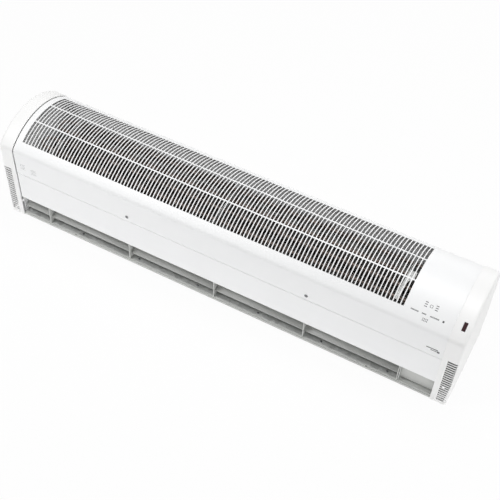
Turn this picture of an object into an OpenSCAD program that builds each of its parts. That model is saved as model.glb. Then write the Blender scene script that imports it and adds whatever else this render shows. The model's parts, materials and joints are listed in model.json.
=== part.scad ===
// Electric air curtain, about 1.1 m long, lying on its wall side as it does before it is hung.
// X runs along the unit, Y from the outlet face to the far side, Z up from the wall plate.
// The curved inlet grille faces up, and the outlet slot is low in the front face.

/* [Casing] */
// Length of the steel casing between the two end caps
body_len = 1020; // [900:20:1400]
// Depth of the casing from the outlet face to the far side
body_depth = 205; // [195:1:225]
// Height of the crease where the outlet face meets the curved grille
crease_h = 204; // [198:1:220]
// Radius of the curved grille
arc_r = 150; // [140:1:190]
// How far the top of the curve lies behind the middle of the depth
crest_shift = 2; // [-4:1:6]
// Radius of the rounded crease
crease_round = 8; // [4:0.5:14]
// Thickness of the casing sheet
sheet = 1.2; // [0.8:0.1:1.6]
// Gap between two sheets that lap or butt
lap = 0.3; // [0.2:0.05:0.5]

/* [Inlet grille] */
// Width of one inlet slot
slot_w = 5.2; // [3:0.1:6]
// Distance from slot to slot
slot_pitch = 8; // [7:0.5:12]
// Plain strip at the left end of the grille
grille_left = 16; // [10:1:40]
// Plain section over the controls at the right end
plain_len = 100; // [80:1:160]
// Plain strip between the crease and the first row, measured in depth
grille_front = 20; // [14:1:30]
// Plain strip between the last row and the far side, measured in depth
grille_back = 23; // [16:1:40]
// Number of rows of slots
grille_rows = 3; // [2:1:4]
// Width of the bar between two rows
row_bar = 3; // [2:0.5:8]

/* [Front face] */
// Height of the seam between the grille cover and the front panel
seam_h = 138; // [126:1:150]
// Height of the front panel's lower edge, the top of the outlet slot
outlet_top = 58.5; // [54:0.5:64]
// Height of the outlet rail, the bottom of the outlet slot
rail_h = 8.8; // [7:0.1:10]
// Depth of the outlet rail
rail_depth = 14; // [10:1:18]
// Height of the cover screws above the seam
cover_screw_up = 11.5; // [9:0.5:16]
// Distance between the two cover screws
cover_screw_span = 430; // [300:10:700]

/* [Outlet] */
// Distance from each end of the casing to the nearest divider
end_bay = 76; // [70:1:90]
// Number of dividers in the outlet slot
divider_count = 5; // [3:1:7]
// Thickness of a divider
divider_t = 1.5; // [1:0.1:2.5]
// Depth of a divider
divider_depth = 50; // [44:1:56]
// Chord of the guide vane
vane_chord = 36; // [28:1:40]
// Thickness of the guide vane
vane_t = 2.4; // [2.2:0.1:3]
// Angle of the guide vane at rest, rear edge up
vane_tilt = 20; // [12:1:24]
// Distance of the vane's rod from the outlet face
vane_in = 22; // [21:0.5:28]
// Radius of the vane's rod
vane_rod_r = 2.5; // [2:0.1:3]

/* [Fan] */
// Outer radius of the fan rotor
rotor_r = 50; // [44:1:51]
// Number of blades
blade_count = 26; // [18:1:32]
// Number of bays between the rotor's discs
rotor_bays = 8; // [4:1:10]
// Radius of the fan shaft
shaft_r = 4; // [3:0.5:5]
// Running clearance of every shaft in its bore
run_gap = 0.05; // [0.02:0.01:0.08]
// Radius of the motor
motor_r = 40; // [32:1:42]
// Length of the motor body
motor_len = 56; // [44:1:60]

/* [Heater] */
// Number of finned heater rods
heater_rods_n = 4; // [2:2:4]
// Radius of a heater rod
heater_rod_r = 4; // [3:0.25:5]
// Radius of the fins on the rods
fin_r = 12; // [8:0.5:14]
// Distance from fin to fin
fin_pitch = 10; // [8:1:20]
// Height of the heater rods
heater_h = 168; // [162:1:174]

/* [End caps] */
// Width of an end cap on the front face
cap_w = 35; // [30:1:50]
// Height of the domed end of the cap
cap_dome = 5; // [3:0.5:9]
// How far the caps stand proud of the casing
cap_proud = 2; // [1.9:0.1:3]
// Wall of the end caps
cap_wall = 2.5; // [2:0.1:3]
// Radius of the cap's outer edge
cap_edge_r = 6; // [4:0.5:8]
// Number of louvre slits in a cap
louvre_n = 19; // [8:1:20]
// Distance from slit to slit
louvre_pitch = 7.2; // [6:0.1:7.5]
// Height of one slit
louvre_h = 3.8; // [2:0.1:4]
// Wall that the slits are cut through
louvre_wall = 1; // [0.8:0.1:1.6]
// Height of the lowest slit
louvre_low = 9.5; // [8:0.5:14]

/* [Receiver] */
// Length of the receiver window along the curve
window_len = 18; // [12:1:22]
// Width of the receiver window
window_w = 9; // [6:0.5:12]

/* [Wall fixing] */
// How far the fixing ears reach under each end cap
ear_len = 28; // [24:1:29]
// Distance of the fixing holes from the casing's end
ear_hole_out = 16; // [13:1:18]
// Distance between the two fixing holes at one end
ear_hole_span = 130; // [100:5:150]
// Radius of the wall fixing holes
ear_hole_r = 3.5; // [2.5:0.25:4]
// Radius of the cable hole in the grommet
cable_r = 6; // [4:0.5:8]

/* [Hidden] */
$fn = 48;

white = [0.95, 0.955, 0.96];
off_white = [0.9, 0.91, 0.91];
zinc = [0.72, 0.73, 0.72];
alu = [0.75, 0.76, 0.76];
dark = [0.16, 0.15, 0.15];
copper_brown = [0.42, 0.3, 0.24];

half_len = body_len / 2;
front_y = -body_depth / 2;
back_y = body_depth / 2;
// Centre of the grille's curve: it passes through the crease
arc_cy = crest_shift;
arc_cz = crease_h - sqrt(pow(arc_r, 2) - pow(arc_cy - front_y, 2));
// Height of the curve's outer face at a given depth, with the skin moved in by inset
function curve_z(y, inset = 0) = arc_cz + sqrt(pow(arc_r - inset, 2) - pow(y - arc_cy, 2));
// Angle about the curve's centre of the point at depth y
function curve_angle(y) = acos((y - arc_cy) / arc_r);

// Far side: the cover's lip laps over the wall plate's upstand
lip_drop = 18;
lip_z = curve_z(back_y) - lip_drop;
upstand_out = back_y - sheet - lap;
upstand_in = upstand_out - sheet;
upstand_h = lip_z + 12;

// Inlet grille
slot_room = body_len - grille_left - plain_len;
slot_n = floor((slot_room + slot_pitch - slot_w) / slot_pitch);
row_a0 = curve_angle(front_y + grille_front);
row_a1 = curve_angle(back_y - grille_back);
row_bar_a = row_bar / arc_r * 180 / PI;
row_a = (row_a0 - row_a1 - (grille_rows - 1) * row_bar_a) / grille_rows;

// Outlet rail: a step in its front face, and a foot in front of the wall plate's edge
rail_step = 2;
rail_foot = 1.8;
rail_low_h = 5.3;
rail_top_t = 1.4;

// Front panel: its flange over the outlet, and the joggle that laps behind the cover
panel_flange = 14;
seam_gap = 0.6;
joggle = sheet + lap;
inner_front_y = front_y + joggle + sheet + lap;

// Outlet duct
floor_z = rail_h + sheet;
ceiling_z = outlet_top + sheet + lap;
divider_span = body_len - 2 * end_bay;
divider_step = divider_span / (divider_count - 1);
function divider_x(i) = -divider_span / 2 + i * divider_step;
vane_y = front_y + vane_in;
vane_z = (floor_z + outlet_top) / 2 - 1;
vane_side_gap = 1;

// End plates and what runs between them
plate_in = 1.5;
left_plate_x = -half_len + plate_in;
duct_left_x = left_plate_x + sheet + lap;
bulkhead_x = divider_span / 2 + 2;
duct_right_x = bulkhead_x - lap;
cap_lip_t = 1.5;
bulkhead_inset = sheet + lap;
left_plate_inset = sheet + lap + cap_lip_t + lap;
plate_foot = 8;
blank_y = front_y + rail_depth - 2 * sheet;
blank_x0 = bulkhead_x + sheet + lap;
blank_x1 = half_len - lap;
blank_leg = 3;
blank_slit = 2.6;

// Fan: the scroll is a round whose centre is offset from the rotor's axis
scroll_back_gap = 3.3;
scroll_gap_low = 26;
scroll_drop = 12.5;
scroll_r = rotor_r + scroll_gap_low - scroll_drop;
axis_z = floor_z + scroll_r + scroll_drop;
axis_y = upstand_in - scroll_back_gap - sheet - scroll_r;
scroll_z = axis_z - scroll_drop;
scroll_top_a = 50;
shelf_back_z = scroll_z + scroll_r * sin(scroll_top_a);
scroll_flange_y = upstand_in - lap - sheet;
scroll_flange_h = 14;
rotor_gap_left = 6;
rotor_gap_right = 8;
rotor_left_x = duct_left_x + rotor_gap_left;
rotor_right_x = duct_right_x - rotor_gap_right;
rotor_len = rotor_right_x - rotor_left_x;
disc_t = 3;
thin_disc_t = 1.5;
blade_in_r = rotor_r * 0.76;
blade_out_r = rotor_r - 0.6;
blade_arc_r = 14;
blade_t = 1.1;
hub_r = 12;
hub_len = 14;
stub_in = 12;

// Tongue that parts the inlet from the outlet
nose_r = 5;
nose_gap = 4;
nose_z = ceiling_z + nose_r;
nose_y = axis_y - sqrt(pow(rotor_r + nose_gap + nose_r, 2) - pow(axis_z - nose_z, 2));
shelf_front_z = 122;
tongue_turn_a = 60;
tongue_rise = 26;
// Depth of the tongue's upper bend, where the front shelf ends
tongue_top_y = nose_y + nose_r * cos(tongue_turn_a) - tongue_rise * sin(tongue_turn_a);

// Bearing at the left end
bush_len = 10;
bush_r = shaft_r + run_gap + 3;
mount_r = bush_r + 6;
mount_flange_r = mount_r + 4;

// Motor
motor_gap = 6;
motor_x = bulkhead_x + sheet + motor_gap;
bell_len = 12;
stator_len = motor_len - 2 * bell_len;
motor_bolt_pcd = 1.5 * motor_r;
armature_r = motor_r / 2;
air_gap = 0.6;
winding_len = 3.2;
winding_t = 11;

// Heater
rod_y0 = -28;
rod_step = 33;
function rod_y(i) = rod_y0 + i * rod_step;
heater_left_x = left_plate_x + 30;
heater_right_x = bulkhead_x + sheet + 14;
bracket_in = 58;
bracket_x = [
    left_plate_x + bracket_in,
    (left_plate_x + bulkhead_x) / 2,
    bulkhead_x - bracket_in
];
bracket_t = 1.2;
bracket_gap = 0.2;
fin_t = 0.8;
fin_margin = 8;
cutout_r = 8;
cutout_len = fin_margin - bracket_t / 2 - 1;

// Electrical compartment beside the fan
tray_x0 = bulkhead_x + plate_foot + 1;
tray_x1 = half_len - 7;
tray_back = 42;
tray_y = front_y + tray_back;
tray_foot = 16;
tray_over = 10;
board_gap = 8;
board_t = 1.6;
board_low = 70;
board_h = 105;
board_in = 3;
board_x0 = tray_x0 + board_in;
board_x1 = tray_x1 - board_in;
board_y = tray_y + sheet + board_gap;
relay_size = [28, 12, 19];
relay_step = 24;
relay_in = 12;
terminal_n = 5;
terminal_step = 9;
terminal_depth = 20;
terminal_h = 16;
capacitor_r = 15;

// End caps
cap_arc_steps = 24;
cap_corner_steps = 4;
cap_side_steps = 6;
cap_base_steps = 8;
cap_edge_steps = 3;
cap_crown_steps = 8;
cap_centre = [0, crease_h / 2];
cap_lip_len = 8;
cap_lip_z = 172;
louvre_in = 12.5;
louvre_out = 2;
pocket_rim = 2;
pocket_w = cap_w - cap_edge_r - louvre_in + 2 * pocket_rim;
screw_z = [40, 150];
cap_screw_x = half_len + 6;
window_x = half_len + cap_w / 2 + 1.5;
window_mid_a = curve_angle(front_y + 27);

// Fasteners
screw_gap = 0.1;
pan_r = 4;
pan_h = 1.7;
cover_screw_r = 1.9;
cover_screw_z = seam_h + cover_screw_up;
floor_screw_n = 6;
floor_screw_in = 9;
floor_screw_r = 1.3;
floor_screw_head = 1.4;
floor_screw_from_left = 160;
floor_screw_from_right = 100;
floor_screw_x0 = -half_len + floor_screw_from_left;
floor_screw_x1 = half_len - floor_screw_from_right;
function floor_screw_x(i) = floor_screw_x0 + (floor_screw_x1 - floor_screw_x0) * i / (floor_screw_n - 1);
rail_screw_in = 144;
rail_screw_x = [-half_len + rail_screw_in, half_len - rail_screw_in];
rail_screw_z = (rail_low_h + rail_h) / 2;
rail_screw_r = 0.8;
casing_screw_n = 4;
casing_screw_in = 50;
casing_screw_r = 1.6;
casing_screw_head = 1.2;
casing_screw_z = shelf_back_z + scroll_flange_h / 2;
casing_screw_x0 = left_plate_x + casing_screw_in;
casing_screw_x1 = bulkhead_x - casing_screw_in;
function casing_screw_x(i) =
    casing_screw_x0 + (casing_screw_x1 - casing_screw_x0) * i / (casing_screw_n - 1);
cap_screw_r = 1.5;
grommet_x = (tray_x0 + tray_x1) / 2;
grommet_z = 32;

// ---- shared shapes ----

// Extrudes a (depth, height) outline along X
module along_x(x0, x1) {
    translate([x0, 0, 0])
        rotate([90, 0, 90])
            linear_extrude(x1 - x0)
                children();
}

// A cylinder along X
module rod_x(x0, x1, y, z, r) {
    translate([x0, y, z])
        rotate([0, 90, 0])
            cylinder(r = r, h = x1 - x0);
}

// A cylinder along Y
module rod_y_axis(y0, y1, x, z, r) {
    translate([x, y1, z])
        rotate([90, 0, 0])
            cylinder(r = r, h = y1 - y0);
}

// Centre of the round corner that is tangent to the curve and to the upright face on one side
function corner_centre(side, inset) =
    let (
        rc = corner_r(inset),
        y = (side < 0 ? front_y + inset + rc : back_y - inset - rc)
    )
    [y, arc_cz + sqrt(pow(arc_r - inset - rc, 2) - pow(y - arc_cy, 2))];
function corner_r(inset) = max(crease_round - inset, 0.8);

// What a round corner takes off: a wedge outside its circle
module corner_waste(side, inset) {
    c = corner_centre(side, inset);
    rc = corner_r(inset);
    n = (c - [arc_cy, arc_cz]) / (arc_r - inset - rc);
    tip = c + (rc + 3) * n;
    out = c[0] + side * (rc + 5);
    difference() {
        polygon([c, tip, [out, tip[1]], [out, c[1]]]);
        translate(c)
            circle(r = rc, $fn = 48);
    }
}

// The casing's outline moved inwards by inset (negative: outwards), with a flat base at low.
// The curve meets the front face and the far side in round corners tangent to both.
module casing_outline(inset = 0, low = 0) {
    difference() {
        intersection() {
            union() {
                translate([arc_cy, arc_cz])
                    circle(r = arc_r - inset, $fn = 180);
                translate([front_y - 20, low - 1])
                    square([body_depth + 40, arc_cz - low]);
            }
            translate([front_y + inset, low])
                square([body_depth - 2 * inset, arc_cz + arc_r - low + 10]);
        }
        corner_waste(-1, inset);
        corner_waste(1, inset);
    }
}

// A skin that follows the casing's outline between two insets
module casing_skin(outer, inner) {
    difference() {
        casing_outline(outer);
        casing_outline(inner, -5);
    }
}

// Outline of a bent sheet: pts is its left-hand face walked from end to end, with mitred bends
function unit(v) = v / norm(v);
function turned(v) = [v[1], -v[0]];
function mitre(a, b, c) =
    let (n1 = turned(unit(b - a)), n2 = turned(unit(c - b)))
    (n1 + n2) / (1 + n1 * n2);
function offset_points(pts, t) = [
    for (i = [0 : len(pts) - 1])
        i == 0 ? pts[0] + t * turned(unit(pts[1] - pts[0]))
        : i == len(pts) - 1 ? pts[i] + t * turned(unit(pts[i] - pts[i - 1]))
        : pts[i] + t * mitre(pts[i - 1], pts[i], pts[i + 1])
];
module bent_sheet(pts, t) {
    back = offset_points(pts, t);
    polygon(concat(pts, [for (i = [len(back) - 1 : -1 : 0]) back[i]]));
}

// A ring sector between two angles
module ring_sector(r0, r1, a0, a1) {
    reach = r1 * 2;
    am = (a0 + a1) / 2;
    difference() {
        circle(r = r1, $fn = 180);
        circle(r = r0, $fn = 180);
        polygon([
            [0, 0],
            reach * [cos(a1), sin(a1)],
            reach * 1.5 * [cos(am + 110), sin(am + 110)],
            reach * 1.5 * [cos(am + 180), sin(am + 180)],
            reach * 1.5 * [cos(am - 110), sin(am - 110)],
            reach * [cos(a0), sin(a0)]
        ]);
    }
}

// ---- casing ----

module wall_plate() {
    color(white)
    difference() {
        union() {
            translate([-half_len - ear_len, front_y + rail_foot, 0])
                cube([body_len + 2 * ear_len, upstand_out - front_y - rail_foot, sheet]);
            translate([-half_len - cap_lip_len - 4, upstand_in, 0])
                cube([body_len + 2 * cap_lip_len + 8, sheet, upstand_h]);
        }
        for (sx = [-1, 1])
            for (sy = [-1, 1])
                translate([sx * (half_len + ear_hole_out), sy * ear_hole_span / 2, -1])
                    cylinder(r = ear_hole_r, h = sheet + 2);
        rod_y_axis(upstand_in - 1, upstand_out + 1, grommet_x, grommet_z, cable_r + 2);
        for (sx = [-1, 1])
            for (z = screw_z)
                rod_y_axis(upstand_in - 1, upstand_out + 1, sx * cap_screw_x, z, cap_screw_r + screw_gap);
        for (i = [0 : casing_screw_n - 1])
            rod_y_axis(upstand_in - 1, upstand_out + 1, casing_screw_x(i), casing_screw_z,
                       casing_screw_r + screw_gap);
    }
}

// A hollow section with a stepped front face
module outlet_rail() {
    color(off_white)
    difference() {
        along_x(-half_len + lap, half_len - lap)
            difference() {
                polygon([
                    [front_y, 0],
                    [front_y + rail_foot - lap, 0],
                    [front_y + rail_foot - lap, sheet],
                    [front_y + rail_depth, sheet],
                    [front_y + rail_depth, rail_h],
                    [front_y + rail_step, rail_h],
                    [front_y + rail_step, rail_low_h],
                    [front_y, rail_low_h]
                ]);
                translate([front_y + rail_step + sheet, 2 * sheet])
                    square([rail_depth - rail_step - 2 * sheet, rail_h - rail_top_t - 2 * sheet]);
            }
        for (i = [0 : floor_screw_n - 1])
            translate([floor_screw_x(i), front_y + floor_screw_in, rail_h - rail_top_t - 1])
                cylinder(r = floor_screw_r + screw_gap, h = rail_top_t + 2);
        for (x = rail_screw_x)
            rod_y_axis(front_y + rail_step - 1, front_y + rail_step + sheet + 1, x, rail_screw_z,
                       rail_screw_r + screw_gap);
    }
}

// The cover is one bent sheet, and its slots are cut square to the curve in rows
module grille_cover() {
    color(white)
    difference() {
        along_x(-half_len + lap, half_len - lap)
            intersection() {
                casing_skin(0, sheet);
                union() {
                    translate([front_y - 5, seam_h])
                        square([body_depth / 2 + 5, arc_r]);
                    translate([0, lip_z])
                        square([body_depth / 2 + 5, arc_r]);
                }
            }
        for (row = [0 : grille_rows - 1])
            for (i = [0 : slot_n - 1])
                along_x(-half_len + grille_left + i * slot_pitch,
                        -half_len + grille_left + i * slot_pitch + slot_w)
                    translate([arc_cy, arc_cz])
                        slot_outline(row_a1 + row * (row_a + row_bar_a));
        for (sx = [-1, 1])
            rod_y_axis(front_y - 1, front_y + sheet + 1, sx * cover_screw_span / 2, cover_screw_z,
                       cover_screw_r + 4 * screw_gap);
    }
}

// Side view of one slot's cutter, a wedge of the curve from angle a
module slot_outline(a) {
    r0 = arc_r - 4 * sheet;
    r1 = arc_r + 4;
    polygon([
        r0 * [cos(a), sin(a)],
        r1 * [cos(a), sin(a)],
        r1 * 1.03 * [cos(a + row_a / 2), sin(a + row_a / 2)],
        r1 * [cos(a + row_a), sin(a + row_a)],
        r0 * [cos(a + row_a), sin(a + row_a)],
        (r0 - 3 * sheet) * [cos(a + row_a / 2), sin(a + row_a / 2)]
    ]);
}

// One bent sheet: the flange over the outlet, the face, and the joggle behind the cover
module front_panel() {
    color(white)
    difference() {
        along_x(-half_len + lap, half_len - lap)
            bent_sheet([
                [front_y + panel_flange, outlet_top],
                [front_y, outlet_top],
                [front_y, seam_h - joggle - seam_gap],
                [front_y + joggle, seam_h - seam_gap],
                [front_y + joggle, cover_screw_z + 10]
            ], sheet);
        for (sx = [-1, 1])
            rod_y_axis(front_y, front_y + 6, sx * cover_screw_span / 2, cover_screw_z,
                       cover_screw_r + screw_gap / 2);
    }
}

// A domed screw with its head below z = 0 and its shank above it
module pan_screw(len) {
    translate([0, 0, -pan_h])
        cylinder(r1 = pan_r - 0.8, r2 = pan_r, h = pan_h / 2);
    translate([0, 0, -pan_h / 2])
        cylinder(r = pan_r, h = pan_h / 2);
    cylinder(r = cover_screw_r, h = len);
}

module cover_screws() {
    color([0.3, 0.31, 0.32])
    for (sx = [-1, 1])
        translate([sx * cover_screw_span / 2, front_y, cover_screw_z])
            rotate([-90, 0, 0])
                pan_screw(8);
}

// ---- outlet ----

module outlet_dividers() {
    color(white)
    for (i = [0 : divider_count - 1])
        difference() {
            translate([divider_x(i) - divider_t / 2, front_y + 0.2, floor_z + 0.1])
                cube([divider_t, divider_depth, outlet_top - floor_z - 0.2]);
            rod_x(divider_x(i) - 3, divider_x(i) + 3, vane_y, vane_z, vane_rod_r + run_gap);
            // Rear corner cut back below the fan
            translate([divider_x(i) - 3, front_y + divider_depth, floor_z])
                rotate([35, 0, 0])
                    translate([0, -20, -30])
                        cube([6, 40, 30]);
        }
}

// Plate that closes the outlet below the controls: it stands on the rail on two legs
module outlet_blank() {
    color(white)
    difference() {
        translate([blank_x0, blank_y, rail_h + 0.1])
            cube([blank_x1 - blank_x0, sheet, outlet_top - rail_h - 0.2]);
        translate([blank_x0 + blank_leg, blank_y - 1, rail_h])
            cube([blank_x1 - blank_x0 - 2 * blank_leg, sheet + 2, blank_slit]);
    }
}

// Ends of the vane's blades: between the left end plate, the dividers and the last divider
function blade_left(i) = i == 0 ? duct_left_x + vane_side_gap : divider_x(i - 1) + divider_t / 2 + vane_side_gap;
function blade_right(i) = divider_x(i) - divider_t / 2 - vane_side_gap;

// Each blade is a flat strip with round edges, and it is clipped round the rod
module guide_vane() {
    color(off_white)
    for (i = [0 : divider_count - 1])
        along_x(blade_left(i), blade_right(i))
            translate([vane_y, vane_z])
                rotate(vane_tilt)
                    difference() {
                        union() {
                            square([vane_chord - vane_t, vane_t], center = true);
                            for (s = [-1, 1])
                                translate([s * (vane_chord - vane_t) / 2, 0])
                                    circle(r = vane_t / 2);
                            circle(r = vane_rod_r + 1.3);
                        }
                        circle(r = vane_rod_r);
                    }
}

module vane_rod() {
    color(zinc)
    rod_x(duct_left_x + 0.2, divider_x(divider_count - 1) + divider_t / 2 + 0.8, vane_y, vane_z, vane_rod_r);
}

// ---- air path ----

// One bent sheet: the duct's floor, the round behind the rotor and the shelf on the far side
module fan_scroll() {
    steps = 28;
    round = [for (k = [0 : steps])
        let (a = -90 + (scroll_top_a + 90) * k / steps)
        [axis_y, scroll_z] + scroll_r * [cos(a), sin(a)]
    ];
    color(zinc)
    difference() {
        along_x(duct_left_x, duct_right_x)
            bent_sheet(concat(
                [[front_y + 4, floor_z]],
                round,
                [[scroll_flange_y, shelf_back_z], [scroll_flange_y, shelf_back_z + scroll_flange_h]]
            ), sheet);
        for (i = [0 : floor_screw_n - 1])
            translate([floor_screw_x(i), front_y + floor_screw_in, rail_h - 1])
                cylinder(r = floor_screw_r + screw_gap, h = sheet + 2);
        for (i = [0 : casing_screw_n - 1])
            rod_y_axis(scroll_flange_y - 1, upstand_in, casing_screw_x(i), casing_screw_z,
                       casing_screw_r + screw_gap);
    }
}

// One bent sheet: the duct's ceiling, the round nose beside the rotor, the riser and the shelf
module vortex_tongue() {
    nose = [nose_y, nose_z];
    steps = 10;
    turn = [for (k = [0 : steps])
        let (a = -90 + (tongue_turn_a + 90) * k / steps)
        nose + nose_r * [cos(a), sin(a)]
    ];
    rise = [tongue_top_y, turn[steps][1] + tongue_rise * cos(tongue_turn_a)];
    path = concat(
        [[inner_front_y, ceiling_z]],
        turn,
        [rise, [rise[0] - 5, shelf_front_z], [inner_front_y, shelf_front_z]]
    );
    color(zinc)
    along_x(duct_left_x, duct_right_x)
        bent_sheet([for (k = [len(path) - 1 : -1 : 0]) path[k]], sheet);
}

// An upright plate across the casing, with a foot to the right on the wall plate
module end_plate(x, inset) {
    difference() {
        union() {
            along_x(x, x + sheet)
                intersection() {
                    casing_outline(inset);
                    translate([inner_front_y, sheet])
                        square([upstand_in - lap - inner_front_y, arc_cz + arc_r]);
                }
            translate([x, front_y + 20, sheet])
                cube([plate_foot, body_depth - 60, sheet]);
        }
        // Notches over the outlet rail and round the front panel's flange
        translate([x - 1, front_y, 0])
            cube([sheet + 2, rail_depth + lap, rail_h + lap]);
        translate([x - 1, front_y, outlet_top - lap])
            cube([sheet + 2, panel_flange + lap, sheet + 2 * lap]);
        children();
    }
}

module left_end_plate() {
    color(zinc)
    end_plate(left_plate_x, left_plate_inset)
        rod_x(left_plate_x - 1, left_plate_x + sheet + 1, axis_y, axis_z, mount_r);
}

module right_bulkhead() {
    color(zinc)
    end_plate(bulkhead_x, bulkhead_inset) {
        rod_x(bulkhead_x - 1, bulkhead_x + sheet + 1, axis_y, axis_z, hub_r);
        for (i = [0 : heater_rods_n - 1])
            rod_x(bulkhead_x - 1, bulkhead_x + sheet + 1, rod_y(i), heater_h, heater_rod_r + 1);
    }
}

// ---- bearing ----

// Rubber ring with flanges on both faces of the plate
module bearing_mount() {
    color(dark)
    difference() {
        union() {
            rod_x(left_plate_x - 2.5, left_plate_x, axis_y, axis_z, mount_flange_r);
            rod_x(left_plate_x - 2.5, left_plate_x + sheet + 2, axis_y, axis_z, mount_r);
            rod_x(left_plate_x + sheet, left_plate_x + sheet + 2, axis_y, axis_z, mount_flange_r);
        }
        rod_x(left_plate_x - 5, left_plate_x + 5, axis_y, axis_z, bush_r);
    }
}

module bearing_bush() {
    color([0.72, 0.55, 0.25])
    difference() {
        rod_x(left_plate_x - bush_len / 2 - 1, left_plate_x + bush_len / 2 - 1, axis_y, axis_z, bush_r);
        rod_x(left_plate_x - bush_len, left_plate_x + bush_len, axis_y, axis_z, shaft_r + run_gap);
    }
}

// ---- fan rotor ----

module blade_ring() {
    mid_r = (blade_in_r + blade_out_r) / 2;
    intersection() {
        difference() {
            circle(r = blade_out_r, $fn = 180);
            circle(r = blade_in_r, $fn = 180);
        }
        for (i = [0 : blade_count - 1])
            rotate(i * 360 / blade_count)
                translate([mid_r, -blade_arc_r * 0.94])
                    ring_sector(blade_arc_r - blade_t / 2, blade_arc_r + blade_t / 2, 45, 135);
    }
}

module fan_rotor() {
    bay = (rotor_len - 2 * disc_t) / rotor_bays;
    color(dark)
    difference() {
        union() {
            rod_x(rotor_left_x, rotor_left_x + disc_t, axis_y, axis_z, rotor_r);
            rod_x(rotor_right_x - disc_t, rotor_right_x, axis_y, axis_z, rotor_r);
            rod_x(rotor_left_x, rotor_left_x + stub_in + disc_t, axis_y, axis_z, shaft_r + 4);
            for (i = [1 : rotor_bays - 1])
                translate([rotor_left_x + disc_t + i * bay - thin_disc_t / 2, axis_y, axis_z])
                    rotate([0, 90, 0])
                        difference() {
                            cylinder(r = rotor_r, h = thin_disc_t);
                            translate([0, 0, -1])
                                cylinder(r = blade_in_r - 4, h = thin_disc_t + 2);
                        }
            translate([rotor_left_x + disc_t / 2, axis_y, axis_z])
                rotate([90, 0, 90])
                    linear_extrude(rotor_len - disc_t)
                        blade_ring();
        }
        rod_x(rotor_left_x - 1, rotor_left_x + stub_in, axis_y, axis_z, shaft_r);
        rod_x(rotor_right_x - disc_t - 1, rotor_right_x + 1, axis_y, axis_z, hub_r);
    }
}

module rotor_stub_shaft() {
    color(zinc)
    rod_x(left_plate_x - bush_len / 2 - 3, rotor_left_x + stub_in, axis_y, axis_z, shaft_r);
}

// Rubber hub that grips the motor's shaft
module rotor_hub() {
    color([0.1, 0.1, 0.1])
    difference() {
        union() {
            rod_x(rotor_right_x - hub_len, rotor_right_x + 2, axis_y, axis_z, hub_r);
            rod_x(rotor_right_x - hub_len, rotor_right_x - disc_t, axis_y, axis_z, hub_r + 4);
        }
        rod_x(rotor_right_x - hub_len - 1, rotor_right_x + 3, axis_y, axis_z, shaft_r);
    }
}

module motor_shaft() {
    color(zinc)
    rod_x(rotor_right_x - hub_len + 1, motor_x + motor_len + 4, axis_y, axis_z, shaft_r);
}

// ---- motor ----

// Core on the shaft that turns inside the stator
module motor_rotor() {
    color([0.4, 0.4, 0.42])
    difference() {
        rod_x(motor_x + bell_len, motor_x + bell_len + stator_len, axis_y, axis_z, armature_r);
        rod_x(motor_x, motor_x + motor_len, axis_y, axis_z, shaft_r);
    }
}

module motor_stator() {
    color([0.35, 0.36, 0.38])
    difference() {
        rod_x(motor_x + bell_len, motor_x + bell_len + stator_len, axis_y, axis_z, motor_r - 1.5);
        rod_x(motor_x, motor_x + motor_len, axis_y, axis_z, armature_r + air_gap);
    }
}

// The ends of the copper windings, one ring on each face of the stator
module motor_windings() {
    color([0.62, 0.34, 0.18])
    for (x = [motor_x + bell_len - winding_len, motor_x + bell_len + stator_len])
        difference() {
            rod_x(x, x + winding_len, axis_y, axis_z, armature_r + 2 + winding_t);
            rod_x(x - 1, x + winding_len + 1, axis_y, axis_z, armature_r + 2);
        }
}

module motor_bell(x, flip) {
    translate([x, axis_y, axis_z])
        mirror([flip, 0, 0])
            difference() {
                rotate([0, 90, 0])
                    rotate_extrude()
                        polygon([
                            [shaft_r + run_gap, 0],
                            [motor_r * 0.35, 0],
                            [motor_r * 0.45, 3],
                            [motor_r - 4, 3],
                            [motor_r, 7],
                            [motor_r, bell_len],
                            [motor_r - 3, bell_len],
                            [motor_r - 3, 8],
                            [motor_r * 0.4, 6],
                            [shaft_r + run_gap, 9]
                        ]);
                for (i = [0 : 7])
                    rotate([i * 45 + 22.5, 0, 0])
                        translate([0, 0, motor_r * 0.68])
                            rotate([0, 90, 0])
                                cylinder(r = 4, h = 20);
            }
}

module motor_front_bell() {
    color(alu)
    motor_bell(motor_x, 0);
}

module motor_rear_bell() {
    color(alu)
    motor_bell(motor_x + motor_len, 1);
}

// Rubber-bushed spacers between the bulkhead and the motor
module motor_spacers() {
    color(dark)
    for (i = [0 : 3])
        rotate_about_axis(i * 90 + 45)
            rod_x(bulkhead_x + sheet, motor_x + 3, 0, motor_bolt_pcd / 2, 5);
}

module rotate_about_axis(a) {
    translate([0, axis_y, axis_z])
        rotate([a, 0, 0])
            children();
}

// ---- heater ----

// Profile of a finned rod: the radius steps out at each fin
function fin_steps(x0, x1) = [
    for (i = [0 : floor((x1 - x0 - fin_t) / fin_pitch)])
        each [
            [heater_rod_r, x0 + i * fin_pitch],
            [fin_r, x0 + i * fin_pitch],
            [fin_r, x0 + i * fin_pitch + fin_t],
            [heater_rod_r, x0 + i * fin_pitch + fin_t]
        ]
];

module heater_rod(x0, x1) {
    fins_a = fin_steps(bracket_x[0] + fin_margin, bracket_x[1] - fin_margin);
    fins_b = fin_steps(bracket_x[1] + fin_margin, bracket_x[2] - fin_margin);
    rotate([0, 90, 0])
        rotate_extrude()
            polygon(concat([[0, x0], [heater_rod_r, x0]], fins_a, fins_b, [[heater_rod_r, x1], [0, x1]]));
}

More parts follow.
